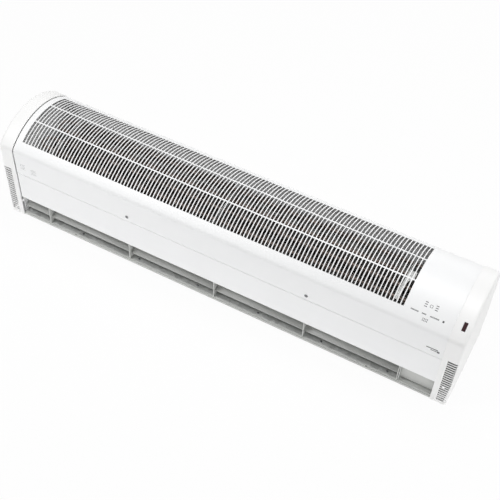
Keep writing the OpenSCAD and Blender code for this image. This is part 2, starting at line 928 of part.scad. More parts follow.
// Hairpins: two finned legs, a half-round bend at the left and two pins at the right
module heater_rods() {
    color(copper_brown)
    for (p = [0 : heater_rods_n / 2 - 1]) {
        for (k = [0, 1])
            translate([0, rod_y(2 * p + k), heater_h])
                heater_rod(heater_left_x, heater_right_x);
        translate([heater_left_x, (rod_y(2 * p) + rod_y(2 * p + 1)) / 2, heater_h])
            rotate([0, 0, 90])
                rotate_extrude(angle = 180)
                    translate([rod_step / 2, 0])
                        circle(r = heater_rod_r);
    }
}

module heater_brackets() {
    top_y0 = rod_y(0) - 18;
    top_y1 = rod_y(heater_rods_n - 1) + 18;
    back_foot = min(top_y1, upstand_in - 4);
    color(zinc)
    for (x = bracket_x)
        difference() {
            along_x(x - bracket_t / 2, x + bracket_t / 2)
                polygon([
                    [tongue_top_y - 16, shelf_front_z + bracket_gap],
                    [tongue_top_y - 6, shelf_front_z + bracket_gap],
                    [top_y0 + 8, heater_h - 16],
                    [back_foot - 18, heater_h - 16],
                    [back_foot - 12, shelf_back_z + bracket_gap],
                    [back_foot, shelf_back_z + bracket_gap],
                    [back_foot, heater_h + 14],
                    [top_y0, heater_h + 14]
                ]);
            for (i = [0 : heater_rods_n - 1])
                rod_x(x - 2, x + 2, rod_y(i), heater_h, heater_rod_r + bracket_gap);
        }
}

// Round switch on the middle bracket, between the first two rods and clear of their fins
module thermal_cutout() {
    x = bracket_x[1] + bracket_t / 2;
    y = (rod_y(0) + rod_y(1)) / 2;
    color([0.12, 0.12, 0.13])
    union() {
        rod_x(x, x + cutout_len * 0.6, y, heater_h, cutout_r);
        rod_x(x, x + cutout_len, y, heater_h, cutout_r - 3);
    }
}

// ---- electrical compartment ----

module controls_tray() {
    color(zinc)
    union() {
        translate([tray_x0, tray_y, sheet])
            cube([tray_x1 - tray_x0, sheet, board_low + board_h + tray_over]);
        translate([tray_x0, tray_y - tray_foot, sheet])
            cube([tray_x1 - tray_x0, tray_foot, sheet]);
    }
}

module control_board() {
    color([0.1, 0.35, 0.2])
    translate([board_x0, board_y, board_low])
        cube([board_x1 - board_x0, board_t, board_h]);
}

module board_spacers() {
    color(off_white)
    for (x = [board_x0 + 5, board_x1 - 5])
        for (z = [board_low + 6, board_low + board_h - 6])
            rod_y_axis(tray_y + sheet, board_y, x, z, 3);
}

module relays() {
    color([0.15, 0.2, 0.45])
    for (i = [0 : 2])
        translate([board_x0 + relay_in, board_y + board_t, board_low + relay_in + i * relay_step])
            cube(relay_size);
}

module terminal_block() {
    x0 = grommet_x - terminal_n * terminal_step / 2;
    y0 = upstand_in - 2 * terminal_depth;
    color([0.85, 0.85, 0.8])
    difference() {
        translate([x0, y0, sheet])
            cube([terminal_n * terminal_step, terminal_depth, terminal_h]);
        for (i = [0 : terminal_n - 1])
            translate([x0 + (i + 0.5) * terminal_step, y0 + terminal_depth / 2, sheet + terminal_h / 2])
                cylinder(r = terminal_step / 3, h = terminal_h);
        for (i = [1 : terminal_n - 1])
            translate([x0 + i * terminal_step - 0.5, y0 - 1, sheet + terminal_h * 0.75])
                cube([1, terminal_depth + 2, terminal_h]);
    }
}

module motor_capacitor() {
    y = upstand_in - capacitor_r - lap;
    z = heater_h - 4;
    color([0.88, 0.88, 0.86])
    union() {
        rod_x(tray_x0 + 12, tray_x1 - 6, y, z, capacitor_r);
        rod_x(tray_x0 + 8, tray_x0 + 12, y, z, capacitor_r - 4);
    }
}

module cable_grommet() {
    color(dark)
    difference() {
        union() {
            rod_y_axis(upstand_out, upstand_out + 2, grommet_x, grommet_z, cable_r + 5);
            rod_y_axis(upstand_in, upstand_out, grommet_x, grommet_z, cable_r + 2);
            rod_y_axis(upstand_in - 2, upstand_in, grommet_x, grommet_z, cable_r + 4);
        }
        rod_y_axis(upstand_in - 5, upstand_out + 5, grommet_x, grommet_z, cable_r);
    }
}

// ---- end caps ----

// Points from p0 to p1 in n steps, without p1
function line_points(p0, p1, n) = [for (k = [0 : n - 1]) p0 + (p1 - p0) * k / n];
function arc_points(c, r, a0, a1, n) = [
    for (k = [0 : n]) c + r * [cos(a0 + (a1 - a0) * k / n), sin(a0 + (a1 - a0) * k / n)]
];

// The cap's outline: up the front, over the curve, down the far side and back along the base
function cap_outline(inset, low) =
    let (
        cf = corner_centre(-1, inset),
        cb = corner_centre(1, inset),
        af = atan2(cf[1] - arc_cz, cf[0] - arc_cy),
        ab = atan2(cb[1] - arc_cz, cb[0] - arc_cy),
        over = arc_points([arc_cy, arc_cz], arc_r - inset, af, ab, cap_arc_steps),
        front = arc_points(cf, corner_r(inset), 180, af, cap_corner_steps),
        back = arc_points(cb, corner_r(inset), ab, 0, cap_corner_steps),
        foot_f = [front_y + inset, low],
        foot_b = [back_y - inset, low]
    )
    concat(
        line_points(foot_f, front[0], cap_side_steps),
        front,
        [for (k = [1 : cap_arc_steps - 1]) over[k]],
        [for (k = [0 : cap_corner_steps - 1]) back[k]],
        line_points(back[cap_corner_steps], foot_b, cap_side_steps),
        line_points(foot_b, foot_f, cap_base_steps)
    );

// Height of the dome: nothing along the outline of the end, most in its middle
function cap_swell(p) =
    let (
        u = p[0] / (back_y + cap_proud - cap_edge_r),
        t = p[1] / curve_z(p[0], cap_edge_r - cap_proud)
    )
    cap_dome * max(0, 1 - u * u) * max(0, 4 * t * (1 - t));

// A flat ring of the cap at x, and a ring on the dome, shrunk towards the middle of the end
function cap_ring(x, inset, low) = [
    for (p = cap_outline(inset - cap_proud, low)) [x, p[0], p[1]]
];
function crown_ring(x, inset, low, shrink) = [
    for (p = cap_outline(inset - cap_proud, low))
        let (q = cap_centre + shrink * (p - cap_centre))
        [x + cap_swell(q), q[0], q[1]]
];

// Solid of the cap, moved inwards by a wall: rings of triangles from the seam over the
// quarter-round edge to the dome. The inner solid starts before the seam and is open below.
module cap_solid(wall) {
    edge = max(cap_edge_r - wall, 1);
    low = wall > 0 ? -2 : 0;
    rings = concat(
        [cap_ring(wall > 0 ? -5 : 0, wall, low)],
        [for (s = [0 : cap_edge_steps])
            let (a = 90 * s / cap_edge_steps)
            cap_ring(cap_w - wall - edge + edge * sin(a), wall + edge * (1 - cos(a)), low)],
        [for (k = [1 : cap_crown_steps - 1])
            crown_ring(cap_w - wall, wall + edge, low, 1 - k / cap_crown_steps)]
    );
    n = len(rings[0]);
    last = len(rings) - 1;
    apex = [cap_w - wall + cap_swell(cap_centre), cap_centre[0], cap_centre[1]];
    hub = [rings[0][0][0], cap_centre[0], cap_centre[1]];
    polyhedron(
        points = concat([for (r = rings) each r], [apex, hub]),
        faces = concat(
            [for (i = [0 : n - 1]) [(i + 1) % n, i, (last + 1) * n + 1]],
            [for (j = [0 : last - 1])
                for (i = [0 : n - 1])
                    let (i2 = (i + 1) % n)
                    each [
                        [j * n + i, j * n + i2, (j + 1) * n + i2],
                        [j * n + i, (j + 1) * n + i2, (j + 1) * n + i]
                    ]],
            [for (i = [0 : n - 1]) [last * n + i, last * n + (i + 1) % n, (last + 1) * n]]
        )
    );
}

module cap_shell() {
    difference() {
        union() {
            difference() {
                cap_solid(0);
                cap_solid(cap_wall);
            }
            // Lip that slides under the curved cover
            along_x(-cap_lip_len, 0.5)
                intersection() {
                    casing_skin(sheet + lap, sheet + lap + cap_lip_t);
                    translate([front_y, cap_lip_z])
                        square([upstand_in - lap - front_y, arc_r]);
                }
            // Web that ties the lip to the cap's skin
            along_x(0, 3)
                intersection() {
                    casing_skin(-cap_proud + 0.5, sheet + lap + cap_lip_t);
                    translate([front_y, cap_lip_z])
                        square([upstand_in - lap - front_y, arc_r]);
                }
        }
        for (i = [0 : louvre_n - 1])
            translate([louvre_in, front_y - cap_proud - 1, louvre_low + i * louvre_pitch])
                cube([cap_w - louvre_in - louvre_out, cap_wall + 2, louvre_h]);
        // Pocket that thins the wall behind the slits
        translate([louvre_in - pocket_rim, front_y - cap_proud + louvre_wall, louvre_low - pocket_rim])
            cube([pocket_w, cap_wall, (louvre_n - 1) * louvre_pitch + louvre_h + 2 * pocket_rim]);
        for (z = screw_z) {
            rod_y_axis(back_y - 3, back_y + cap_proud + 1, cap_screw_x - half_len, z, 2);
            rod_y_axis(back_y + cap_proud - 1.4, back_y + cap_proud + 1, cap_screw_x - half_len, z, 3.8);
        }
    }
}

module left_end_cap() {
    color(white)
    translate([-half_len, 0, 0])
        mirror([1, 0, 0])
            cap_shell();
}

module window_block(r0, r1, grow) {
    half_a = (window_len / 2 + grow) / arc_r * 180 / PI;
    along_x(window_x - window_w / 2 - grow, window_x + window_w / 2 + grow)
        translate([arc_cy, arc_cz])
            ring_sector(r0, r1, window_mid_a - half_a, window_mid_a + half_a);
}

module right_end_cap() {
    color(white)
    difference() {
        translate([half_len, 0, 0])
            cap_shell();
        window_block(arc_r - 8, arc_r + 8, 0.15);
    }
}

// Dark red lens, held by a flange behind the cap's wall
module receiver_window() {
    skin = arc_r + cap_proud;
    color([0.3, 0.03, 0.06])
    union() {
        window_block(skin - cap_wall - 0.5, skin + 0.2, 0);
        window_block(skin - cap_wall - 1.7, skin - cap_wall - 0.2, 2);
    }
}

module receiver_board() {
    skin = arc_r + cap_proud;
    color([0.1, 0.35, 0.2])
    union() {
        window_block(skin - cap_wall - 9, skin - cap_wall - 7.4, 5);
        window_block(skin - cap_wall - 7.5, skin - cap_wall - 1.9, -1.5);
    }
}

// ---- small fasteners ----

module cap_screws() {
    color(zinc)
    for (sx = [-1, 1])
        for (z = screw_z)
            translate([sx * cap_screw_x, back_y + cap_proud - 0.2, z])
                rotate([90, 0, 0]) {
                    cylinder(r = 3.6, h = 1.1);
                    cylinder(r = cap_screw_r, h = 9);
                }
}

// Screws along the outlet's floor, through the scroll into the rail
module floor_screws() {
    color([0.3, 0.31, 0.32])
    for (i = [0 : floor_screw_n - 1])
        translate([floor_screw_x(i), front_y + floor_screw_in, floor_z]) {
            cylinder(r = 2 * floor_screw_r, h = floor_screw_head);
            translate([0, 0, -sheet - rail_top_t - 1])
                cylinder(r = floor_screw_r, h = sheet + rail_top_t + 1.5);
        }
}

// Two small screws in the upper step of the rail's front face
module rail_screws() {
    color([0.3, 0.31, 0.32])
    for (x = rail_screw_x) {
        rod_y_axis(front_y + rail_step - 1, front_y + rail_step, x, rail_screw_z, 2 * rail_screw_r);
        rod_y_axis(front_y + rail_step - 0.5, front_y + rail_step + sheet + 1, x, rail_screw_z,
                   rail_screw_r);
    }
}

// Screws that hold the scroll's flange to the wall plate's upstand
module casing_screws() {
    color(zinc)
    for (i = [0 : casing_screw_n - 1]) {
        rod_y_axis(upstand_out, upstand_out + casing_screw_head, casing_screw_x(i), casing_screw_z,
                   2 * casing_screw_r);
        rod_y_axis(scroll_flange_y - 2, upstand_out + casing_screw_head / 2, casing_screw_x(i),
                   casing_screw_z, casing_screw_r);
    }
}

wall_plate();
outlet_rail();
grille_cover();
front_panel();
cover_screws();
outlet_dividers();
outlet_blank();
guide_vane();
vane_rod();
fan_scroll();
vortex_tongue();
left_end_plate();
right_bulkhead();
bearing_mount();
bearing_bush();
fan_rotor();
rotor_stub_shaft();
rotor_hub();
motor_shaft();
motor_rotor();
motor_stator();
motor_windings();
motor_front_bell();
motor_rear_bell();
motor_spacers();
heater_rods();
heater_brackets();
thermal_cutout();
controls_tray();
control_board();
board_spacers();
relays();
terminal_block();
motor_capacitor();
cable_grommet();
left_end_cap();
right_end_cap();
receiver_window();
receiver_board();
cap_screws();
floor_screws();
rail_screws();
casing_screws();
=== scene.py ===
"""Dresses the air curtain: a finish for every part, smooth shells for the folded sheet and the
moulded end caps, screws, lens and printed marks, and a plain studio. Lengths are in metres."""

import json
from math import asin, radians

import bmesh
import bpy
import numpy as np
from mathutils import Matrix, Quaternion, Vector


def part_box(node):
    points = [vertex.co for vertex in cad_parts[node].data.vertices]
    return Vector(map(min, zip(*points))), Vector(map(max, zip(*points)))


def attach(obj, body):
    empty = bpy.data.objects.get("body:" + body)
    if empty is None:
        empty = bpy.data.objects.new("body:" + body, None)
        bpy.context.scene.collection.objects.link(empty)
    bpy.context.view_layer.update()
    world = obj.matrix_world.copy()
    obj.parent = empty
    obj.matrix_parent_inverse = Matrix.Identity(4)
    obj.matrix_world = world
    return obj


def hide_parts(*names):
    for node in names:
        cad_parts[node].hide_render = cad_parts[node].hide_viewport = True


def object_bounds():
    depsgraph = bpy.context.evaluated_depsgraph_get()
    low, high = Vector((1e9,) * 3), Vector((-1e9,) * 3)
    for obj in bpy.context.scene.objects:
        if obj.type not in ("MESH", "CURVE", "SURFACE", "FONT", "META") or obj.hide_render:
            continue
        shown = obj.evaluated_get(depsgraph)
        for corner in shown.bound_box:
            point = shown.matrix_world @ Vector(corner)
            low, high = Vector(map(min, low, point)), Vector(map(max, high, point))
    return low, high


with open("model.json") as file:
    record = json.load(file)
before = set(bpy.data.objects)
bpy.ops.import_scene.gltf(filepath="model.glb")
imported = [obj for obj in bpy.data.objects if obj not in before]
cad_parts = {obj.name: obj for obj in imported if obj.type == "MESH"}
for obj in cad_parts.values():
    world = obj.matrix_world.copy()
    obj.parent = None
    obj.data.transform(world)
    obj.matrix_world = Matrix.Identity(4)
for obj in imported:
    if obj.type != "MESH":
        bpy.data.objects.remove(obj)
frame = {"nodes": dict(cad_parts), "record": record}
CAD_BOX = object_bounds()

bl_info = {
    "name": "Air curtain",
    "version": (1, 0, 0),
    "blender": (4, 5, 0),
    "location": "3D View > Sidebar > Air curtain",
    "description": "Builds the shells, fittings and finishes of an electric air curtain",
    "category": "Object",
}

HOUSING = "housing"
MM = 0.001
MERGE_DISTANCE = 1e-6
COVER_LOW, COVER_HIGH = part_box("grille_cover")
PANEL_LOW, PANEL_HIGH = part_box("front_panel")
CAP_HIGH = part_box("right_end_cap")[1]
LENS_LOW, LENS_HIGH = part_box("receiver_window")
LENS_MIDDLE = (LENS_LOW.x + LENS_HIGH.x) / 2
CAP_SCREW_HEAD = 3.6 * MM
FRONT, BACK, UP = Vector((0, -1, 0)), Vector((0, 1, 0)), Vector((0, 0, 1))

# How finely curves are divided, how level neighbours must be to join, and which edges are rounded
CURVE_STEP = radians(3)
CORNER_STEPS = 9
FLAT_WITHIN = radians(0.5)
SHARP_FROM = radians(35)

# Each set of screws: its finish, the way the heads face, how many stand across and up, the
# radius and the height of the head, and the radius of the shank
SCREWS = {
    "cover_screws": ("screw_dark", FRONT, (2, 1), 4.0 * MM, 1.7 * MM, 1.9 * MM),
    "cap_screws": ("screw_zinc", BACK, (2, 2), CAP_SCREW_HEAD, 1.1 * MM, 1.5 * MM),
    "floor_screws": ("screw_dark", UP, (6, 1), 2.6 * MM, 1.4 * MM, 1.3 * MM),
    "rail_screws": ("screw_dark", FRONT, (2, 1), 1.6 * MM, 1.0 * MM, 0.8 * MM),
    "casing_screws": ("screw_zinc", BACK, (4, 1), 3.2 * MM, 1.2 * MM, 1.6 * MM),
}

# Each lamp: where it stands, and the width and height of its face. The low lamp shines straight
# up, and the others at the middle of the object.
LAMPS = {
    "key": ((0.3, 0.5, 2.4), (1.6, 0.8)),
    "low": ((0.0, -0.89, CAD_BOX[0].z), (3.0, 1.62)),
    "left": ((-1.1, -1.0, 2.05), (0.8, 0.6)),
    "right": ((2.3, -0.1, 0.8), (1.4, 1.2)),
    "back": ((0.3, 2.6, 0.7), (2.4, 1.0)),
}
FLOOR_REACH = 25.0


# ---- sizes and colours that a user may change ----


def length_property(label, description, default):
    """A length, with its label, what it measures and its usual value."""
    return bpy.props.FloatProperty(
        name=label, description=description, default=default, min=0.0, unit="LENGTH", precision=5
    )


def depth_property(label, description, default):
    """A place along the depth, which may lie in front of the middle."""
    return bpy.props.FloatProperty(
        name=label, description=description, default=default, unit="LENGTH", precision=5
    )


def share_property(label, description, default):
    """A share of another size, with its label, what it means and its usual value."""
    return bpy.props.FloatProperty(
        name=label, description=description, default=default, min=0.0, max=1.0, precision=3
    )


def colour_property(entry):
    """The colour of one finish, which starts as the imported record's."""
    return bpy.props.FloatVectorProperty(
        name=entry["slot"].replace("_", " ").capitalize(),
        description="Colour of the finish: " + entry["finish"],
        default=entry["base_color"][:3],
        min=0.0,
        max=1.0,
        size=3,
        subtype="COLOR",
    )


class CasingSizes(bpy.types.PropertyGroup):
    """Sizes of the folded casing: the grille cover and the front panel."""

    curve_radius: length_property("Curve radius", "Radius of the curved grille", 150 * MM)
    crest_shift: length_property("Crest shift", "How far the crest lies behind the middle", 2 * MM)
    crease_round: length_property("Crease radius", "Radius of the rounded crease", 14 * MM)
    sheet: length_property("Sheet", "Thickness of the painted sheet", 1.2 * MM)
    lip_drop: length_property("Lip", "Height of the cover's lip on the far side", 18 * MM)
    edge_round: length_property("Edge radius", "Radius of the coated edges", 0.25 * MM)
    bend_round: length_property("Bend radius", "Outer radius of a fold in the panel", 1.6 * MM)
    flange: length_property("Flange", "Depth of the panel's flange over the outlet", 14 * MM)
    joggle: length_property("Joggle", "How far the panel steps in behind the cover", 1.5 * MM)
    seam_gap: length_property("Seam gap", "Width of the seam between cover and panel", 1 * MM)
    left_gap: length_property("Left gap", "Open seam between the casing and the left cap", 1.6 * MM)


class GrilleSizes(bpy.types.PropertyGroup):
    """Sizes of the inlet slots in the cover."""

    slot_width: length_property("Slot width", "Width of one inlet slot", 5.7 * MM)
    slot_pitch: length_property("Slot pitch", "Distance from slot to slot", 8 * MM)
    left_strip: length_property("Left strip", "Plain strip at the left end", 15.7 * MM)
    right_strip: length_property("Right strip", "Plain section over the controls", 99.7 * MM)
    front_strip: length_property("Front strip", "Depth of the strip behind the crease", 20 * MM)
    back_strip: length_property("Back strip", "Depth of the strip before the far side", 23 * MM)
    row_bar: length_property("Row bar", "Width of the bar between two rows", 3 * MM)
    rows: bpy.props.IntProperty(
        name="Rows", description="Number of rows of slots", default=3, min=1, max=4
    )


class CapSizes(bpy.types.PropertyGroup):
    """Sizes of the moulded end caps."""

    proud: length_property("Proud", "How far the cap stands out from the casing", 2 * MM)
    width: length_property("Width", "Width of the cap on the front face", 35 * MM)
    edge_radius: length_property("Edge radius", "Radius of the cap's outer edge", 6 * MM)
    dome: length_property("Dome", "Height of the domed end", 5 * MM)
    wall: length_property("Wall", "Thickness of the moulded wall", 2.5 * MM)
    edge_round: length_property("Slit radius", "Radius of the edges of the slits", 0.3 * MM)
    slit_start: length_property("Slit start", "Distance of the slits from the seam", 12.5 * MM)
    slit_end: length_property("Slit end", "Distance of the slits from the cap's side", 2 * MM)
    slit_low: length_property("Lowest slit", "Height of the lowest slit", 9.5 * MM)
    slit_pitch: length_property("Slit pitch", "Distance from slit to slit", 7.2 * MM)
    slit_height: length_property("Slit height", "Height of one slit", 4.4 * MM)
    slit_wall: length_property("Slit wall", "Thinner wall round the slits", 1 * MM)
    slit_margin: length_property("Slit margin", "Thin wall beyond the outermost slits", 2 * MM)
    window_back: length_property("Window place", "Distance from the front to the lens", 27 * MM)
    window_length: length_property("Window length", "Length of the lens on the curve", 18 * MM)
    window_width: length_property("Window width", "Width of the lens", 7.4 * MM)
    window_gap: length_property("Window gap", "Gap round the lens", 0.15 * MM)
    lens_rise: length_property("Lens rise", "Height of the domed lens over the cap", 0.2 * MM)
    lens_depth: length_property("Lens depth", "Depth of the lens below the cap's skin", 3 * MM)
    lens_edge: length_property("Lens edge", "Radius of the lens's edge", 0.15 * MM)
    screw_bore: length_property("Screw bore", "Radius of the bore round a cap screw", 3.8 * MM)
    bore_depth: length_property("Bore depth", "Depth of the bore round a cap screw", 1.4 * MM)
    slits: bpy.props.IntProperty(
        name="Slits", description="Number of slits in one cap", default=19, min=1, max=20
    )


class ScrewSizes(bpy.types.PropertyGroup):
    """Sizes shared by the screw heads, as shares of a head's radius."""

    cross_reach: share_property("Cross reach", "Half length of the cross recess", 0.58)
    cross_width: share_property("Cross width", "Half width of the cross recess", 0.13)
    cross_depth: share_property("Cross depth", "Depth of the cross recess", 0.26)
    slope: share_property("Cross slope", "Width of the recess's sloping sides", 0.08)


class HeaterSizes(bpy.types.PropertyGroup):
    """Sizes of the flange that stiffens the right heater bracket."""

    bracket: length_property("Bracket", "Thickness of the bracket", 1.2 * MM)
    narrow: length_property("Narrow part", "Width of the flange at the front", 7 * MM)
    wide: length_property("Wide part", "Width of the flange at the back", 16 * MM)
    slope: length_property("Slope", "Length over which the flange widens", 7 * MM)
    leaf_front: depth_property("Flange front", "Depth where the flange starts", -44 * MM)
    leaf_step: depth_property("Flange step", "Depth where the flange widens", 14 * MM)
    leaf_back: depth_property("Flange back", "Depth where the flange ends", 40 * MM)


class MarkSizes(bpy.types.PropertyGroup):
    """Sizes of the plain printed marks on the casing."""

    ink: length_property("Ink", "Thickness of the printed ink", 0.04 * MM)
    bar_width: length_property("Bar width", "Width of one printed bar", 1.5 * MM)
    bar_height: length_property("Bar height", "Height of one printed bar", 2.6 * MM)


class FinishColours(bpy.types.PropertyGroup):
    """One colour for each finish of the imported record."""

    __annotations__ = {
        entry["slot"]: colour_property(entry) for entry in frame["record"]["materials"]
    }


class StageSettings(bpy.types.PropertyGroup):
    """The plain studio: its camera, lamps, floor and sky."""

    camera_place: bpy.props.FloatVectorProperty(
        name="Camera place",
        description="Where the camera stands",
        default=(0.6472, -1.2414, 1.6870),
        size=3,
        subtype="TRANSLATION",
        unit="LENGTH",
    )
    camera_aim: bpy.props.FloatVectorProperty(
        name="Camera aim",
        description="Point in the middle of the picture",
        default=(0.0386, -0.0114, 0.0973),
        size=3,
        subtype="TRANSLATION",
        unit="LENGTH",
    )
    camera_roll: bpy.props.FloatProperty(
        name="Camera roll",
        description="How far the camera leans to its left",
        default=radians(2.87),
        subtype="ANGLE",
    )
    camera_lens: bpy.props.FloatProperty(
        name="Focal length", description="Focal length on a 36 mm sensor", default=69.8, min=1.0
    )
    floor_colour: bpy.props.FloatVectorProperty(
        name="Floor colour",
        description="Colour of the plain pale floor",
        default=(0.86, 0.86, 0.86),
        size=3,
        subtype="COLOR",
    )
    floor_glow: bpy.props.FloatProperty(
        name="Floor glow",
        description="How far the floor is lifted to white where the camera sees it",
        default=0.95,
        min=0.0,
        max=1.0,
        subtype="FACTOR",
    )
    sky_light: bpy.props.FloatProperty(
        name="Sky light", description="Strength of the even light all round", default=0.21, min=0.0
    )
    key_power: bpy.props.FloatProperty(
        name="Key power", description="Power of the large lamp above", default=26.0, unit="POWER"
    )
    low_power: bpy.props.FloatProperty(
        name="Low power",
        description="Power of the panel that lies on the floor in front",
        default=7.0,
        unit="POWER",
    )
    left_power: bpy.props.FloatProperty(
        name="Left power", description="Power of the lamp at the left", default=22.5, unit="POWER"
    )
    right_power: bpy.props.FloatProperty(
        name="Right power", description="Power of the lamp at the right", default=11.5, unit="POWER"
    )
    back_power: bpy.props.FloatProperty(
        name="Back power", description="Power of the lamp behind", default=9.0, unit="POWER"
    )


# ---- meshes ----


class Shell:
    """Points and four-cornered faces gathered from several grids, to become one mesh."""

    def __init__(self):
        self.points = []
        self.faces = []
        self.count = 0

    def grid(self, points, keep=None, flip=False):
        """Adds a grid of points, rows by columns by 3. A face joins each four neighbours, unless
        keep is false there. It faces the side that the row step × column step points to, or with
        flip the other one."""
        rows, columns = points.shape[:2]
        index = self.count + np.arange(rows * columns).reshape(rows, columns)
        corners = [index[:-1, :-1], index[1:, :-1], index[1:, 1:], index[:-1, 1:]]
        faces = np.stack(corners[::-1] if flip else corners, axis=-1)
        self.points.append(points.reshape(-1, 3))
        self.faces.append(faces[keep] if keep is not None else faces.reshape(-1, 4))
        self.count += rows * columns
        return self

    def build(self, name):
        """The mesh object, with points that lie together merged and unused ones dropped."""
        mesh = bpy.data.meshes.new(name)
        points = np.concatenate(self.points)
        faces = np.concatenate(self.faces)
        mesh.vertices.add(len(points))
        mesh.vertices.foreach_set("co", points.astype(np.float32).ravel())
        mesh.loops.add(faces.size)
        mesh.loops.foreach_set("vertex_index", faces.astype(np.int32).ravel())
        mesh.polygons.add(len(faces))
        mesh.polygons.foreach_set("loop_start", np.arange(0, faces.size, 4, dtype=np.int32))
        mesh.update(calc_edges=True)
        work = bmesh.new()
        work.from_mesh(mesh)
        unused = [vertex for vertex in work.verts if not vertex.link_faces]
        bmesh.ops.delete(work, geom=unused, context="VERTS")
        bmesh.ops.remove_doubles(work, verts=work.verts, dist=MERGE_DISTANCE)
        work.to_mesh(mesh)
        work.free()
        mesh.shade_smooth()
        piece = bpy.data.objects.new(name, mesh)
        bpy.context.scene.collection.objects.link(piece)
        return piece


def settle(piece):
    """Applies the piece's modifiers, so that its mesh is the finished one."""
    depsgraph = bpy.context.evaluated_depsgraph_get()
    finished = bpy.data.meshes.new_from_object(
        piece.evaluated_get(depsgraph), preserve_all_data_layers=True, depsgraph=depsgraph
    )
    piece.modifiers.clear()
    piece.data = finished
    return piece


def thicken(piece, wall, thin_wall=None, thin=None):
    """Gives a surface its wall, inwards from the face that shows, and a thinner one at the
    points that the function thin picks by their places."""
    solid = piece.modifiers.new("wall", "SOLIDIFY")
    solid.thickness = wall
    solid.offset = -1.0
    solid.use_even_offset = True
    if thin:
        places = np.empty(len(piece.data.vertices) * 3, np.float32)
        piece.data.vertices.foreach_get("co", places)
        full = np.flatnonzero(~thin(places.reshape(-1, 3)))
        piece.vertex_groups.new(name="full_wall").add(full.tolist(), 1.0, "REPLACE")
        solid.vertex_group = "full_wall"
        solid.thickness_vertex_group = thin_wall / wall


def soften(piece, radius, steps=2):
    """Rounds the sharp edges, and keeps the flats beside them flat in shading."""
    bevel = piece.modifiers.new("edges", "BEVEL")
    bevel.width = radius
    bevel.segments = steps
    bevel.limit_method = "ANGLE"
    bevel.angle_limit = SHARP_FROM
    bevel.use_clamp_overlap = False
    bevel.harden_normals = True


def softened(node, radius, finish, body=HOUSING):
    """A copy of a CAD node with its triangles joined to whole faces and its edges rounded."""
    piece = bpy.data.objects.new(node + "_soft", frame["nodes"][node].data.copy())
    bpy.context.scene.collection.objects.link(piece)
    work = bmesh.new()
    work.from_mesh(piece.data)
    bmesh.ops.remove_doubles(work, verts=work.verts, dist=MERGE_DISTANCE)
    bmesh.ops.dissolve_limit(work, angle_limit=FLAT_WITHIN, verts=work.verts, edges=work.edges)
    work.to_mesh(piece.data)
    work.free()
    piece.data.shade_smooth()
    soften(piece, radius)
    return dress(settle(piece), finish, [node], body)


def dress(piece, finish, nodes=(), body=HOUSING):
    """Gives a piece its finish, the CAD body it rides on and the CAD nodes it stands for."""
    piece.data.materials.clear()
    piece.data.materials.append(bpy.data.materials[finish])
    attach(piece, body)
    if nodes:
        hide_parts(*nodes)
    return piece


def around(angles):
    """Unit vectors in (depth, height) at the given angles."""
    return np.stack([np.cos(angles), np.sin(angles)], axis=-1)


def full_turn(steps):
    """Angles of a whole turn, the last of which lies on the first."""
    return np.linspace(0, 2 * np.pi, steps + 1)


class Section:
    """The casing's cross-section in (depth, height): one big curve that turns through a round
    corner into the upright front, and through another into the far side."""

    def __init__(self, sizes):
        self.front = COVER_LOW.y
        self.back = COVER_HIGH.y
        self.radius = sizes.curve_radius
        self.round = sizes.crease_round
        self.centre = np.array([sizes.crest_shift, COVER_HIGH.z - sizes.curve_radius])

    def corner(self, side):
        """Centre of a round corner: it lies one corner radius inside both the upright face and
        the big curve, so the corner is tangent to both."""
        depth = self.front + self.round if side < 0 else self.back - self.round
        reach = self.radius - self.round
        rise = np.sqrt(reach**2 - (depth - self.centre[0]) ** 2)
        return np.array([depth, self.centre[1] + rise])

    def angle_at(self, depth):
        """Angle about the curve's centre of the point of the curve at a depth."""
        return np.arccos((depth - self.centre[0]) / self.radius)

    def height_at(self, depth, inset):
        """Height of the curve at a depth, moved inwards by inset."""
        return self.centre[1] + np.sqrt((self.radius - inset) ** 2 - (depth - self.centre[0]) ** 2)

    def turns(self):
        """Angles at which the big curve starts and ends."""
        ends = np.array([self.corner(-1), self.corner(1)]) - self.centre
        return np.arctan2(ends[:, 1], ends[:, 0])

    def outline(self, front_heights, curve_angles, back_heights):
        """Points and outward normals along the section: up the front, round the crease, over
        the curve, round the far corner and down. On an arc, a point is the centre plus the
        radius times its normal."""
        start, end = self.turns()
        arcs = [
            (self.corner(-1), self.round, np.linspace(np.pi, start, CORNER_STEPS)),
            (self.centre, self.radius, np.asarray(curve_angles)),
            (self.corner(1), self.round, np.linspace(end, 0.0, CORNER_STEPS)),
        ]
        front = np.stack([np.full(len(front_heights), self.front), front_heights], axis=-1)
        back = np.stack([np.full(len(back_heights), self.back), back_heights], axis=-1)
        curved = [centre + radius * around(angles) for centre, radius, angles in arcs]
        facing = [around(angles) for _, _, angles in arcs]
        points = np.concatenate([front, *curved, back])
        normals = np.concatenate(
            [np.full(front.shape, (-1.0, 0.0)), *facing, np.full(back.shape, (1.0, 0.0))]
        )
        return points, normals


def between(marks, spacing):
    """The marks with evenly spaced values added, so that no gap is wider than the spacing."""
    marks = np.asarray(marks, float)
    parts = np.maximum(np.ceil(np.abs(np.diff(marks)) / spacing).astype(int), 1)
    runs = [np.linspace(a, b, n, endpoint=False) for a, b, n in zip(marks, marks[1:], parts)]
    return np.concatenate([*runs, marks[-1:]])


def middles(values):
    """The middle of each step between neighbouring values."""
    return (values[:-1] + values[1:]) / 2


def sweep(section_points, places):
    """A (depth, height) path carried along X: one row of points for each place."""
    rows = np.repeat(section_points[None], len(places), axis=0)
    across = np.broadcast_to(np.asarray(places)[:, None, None], rows.shape[:2] + (1,))
    return np.concatenate([across, rows], axis=-1)


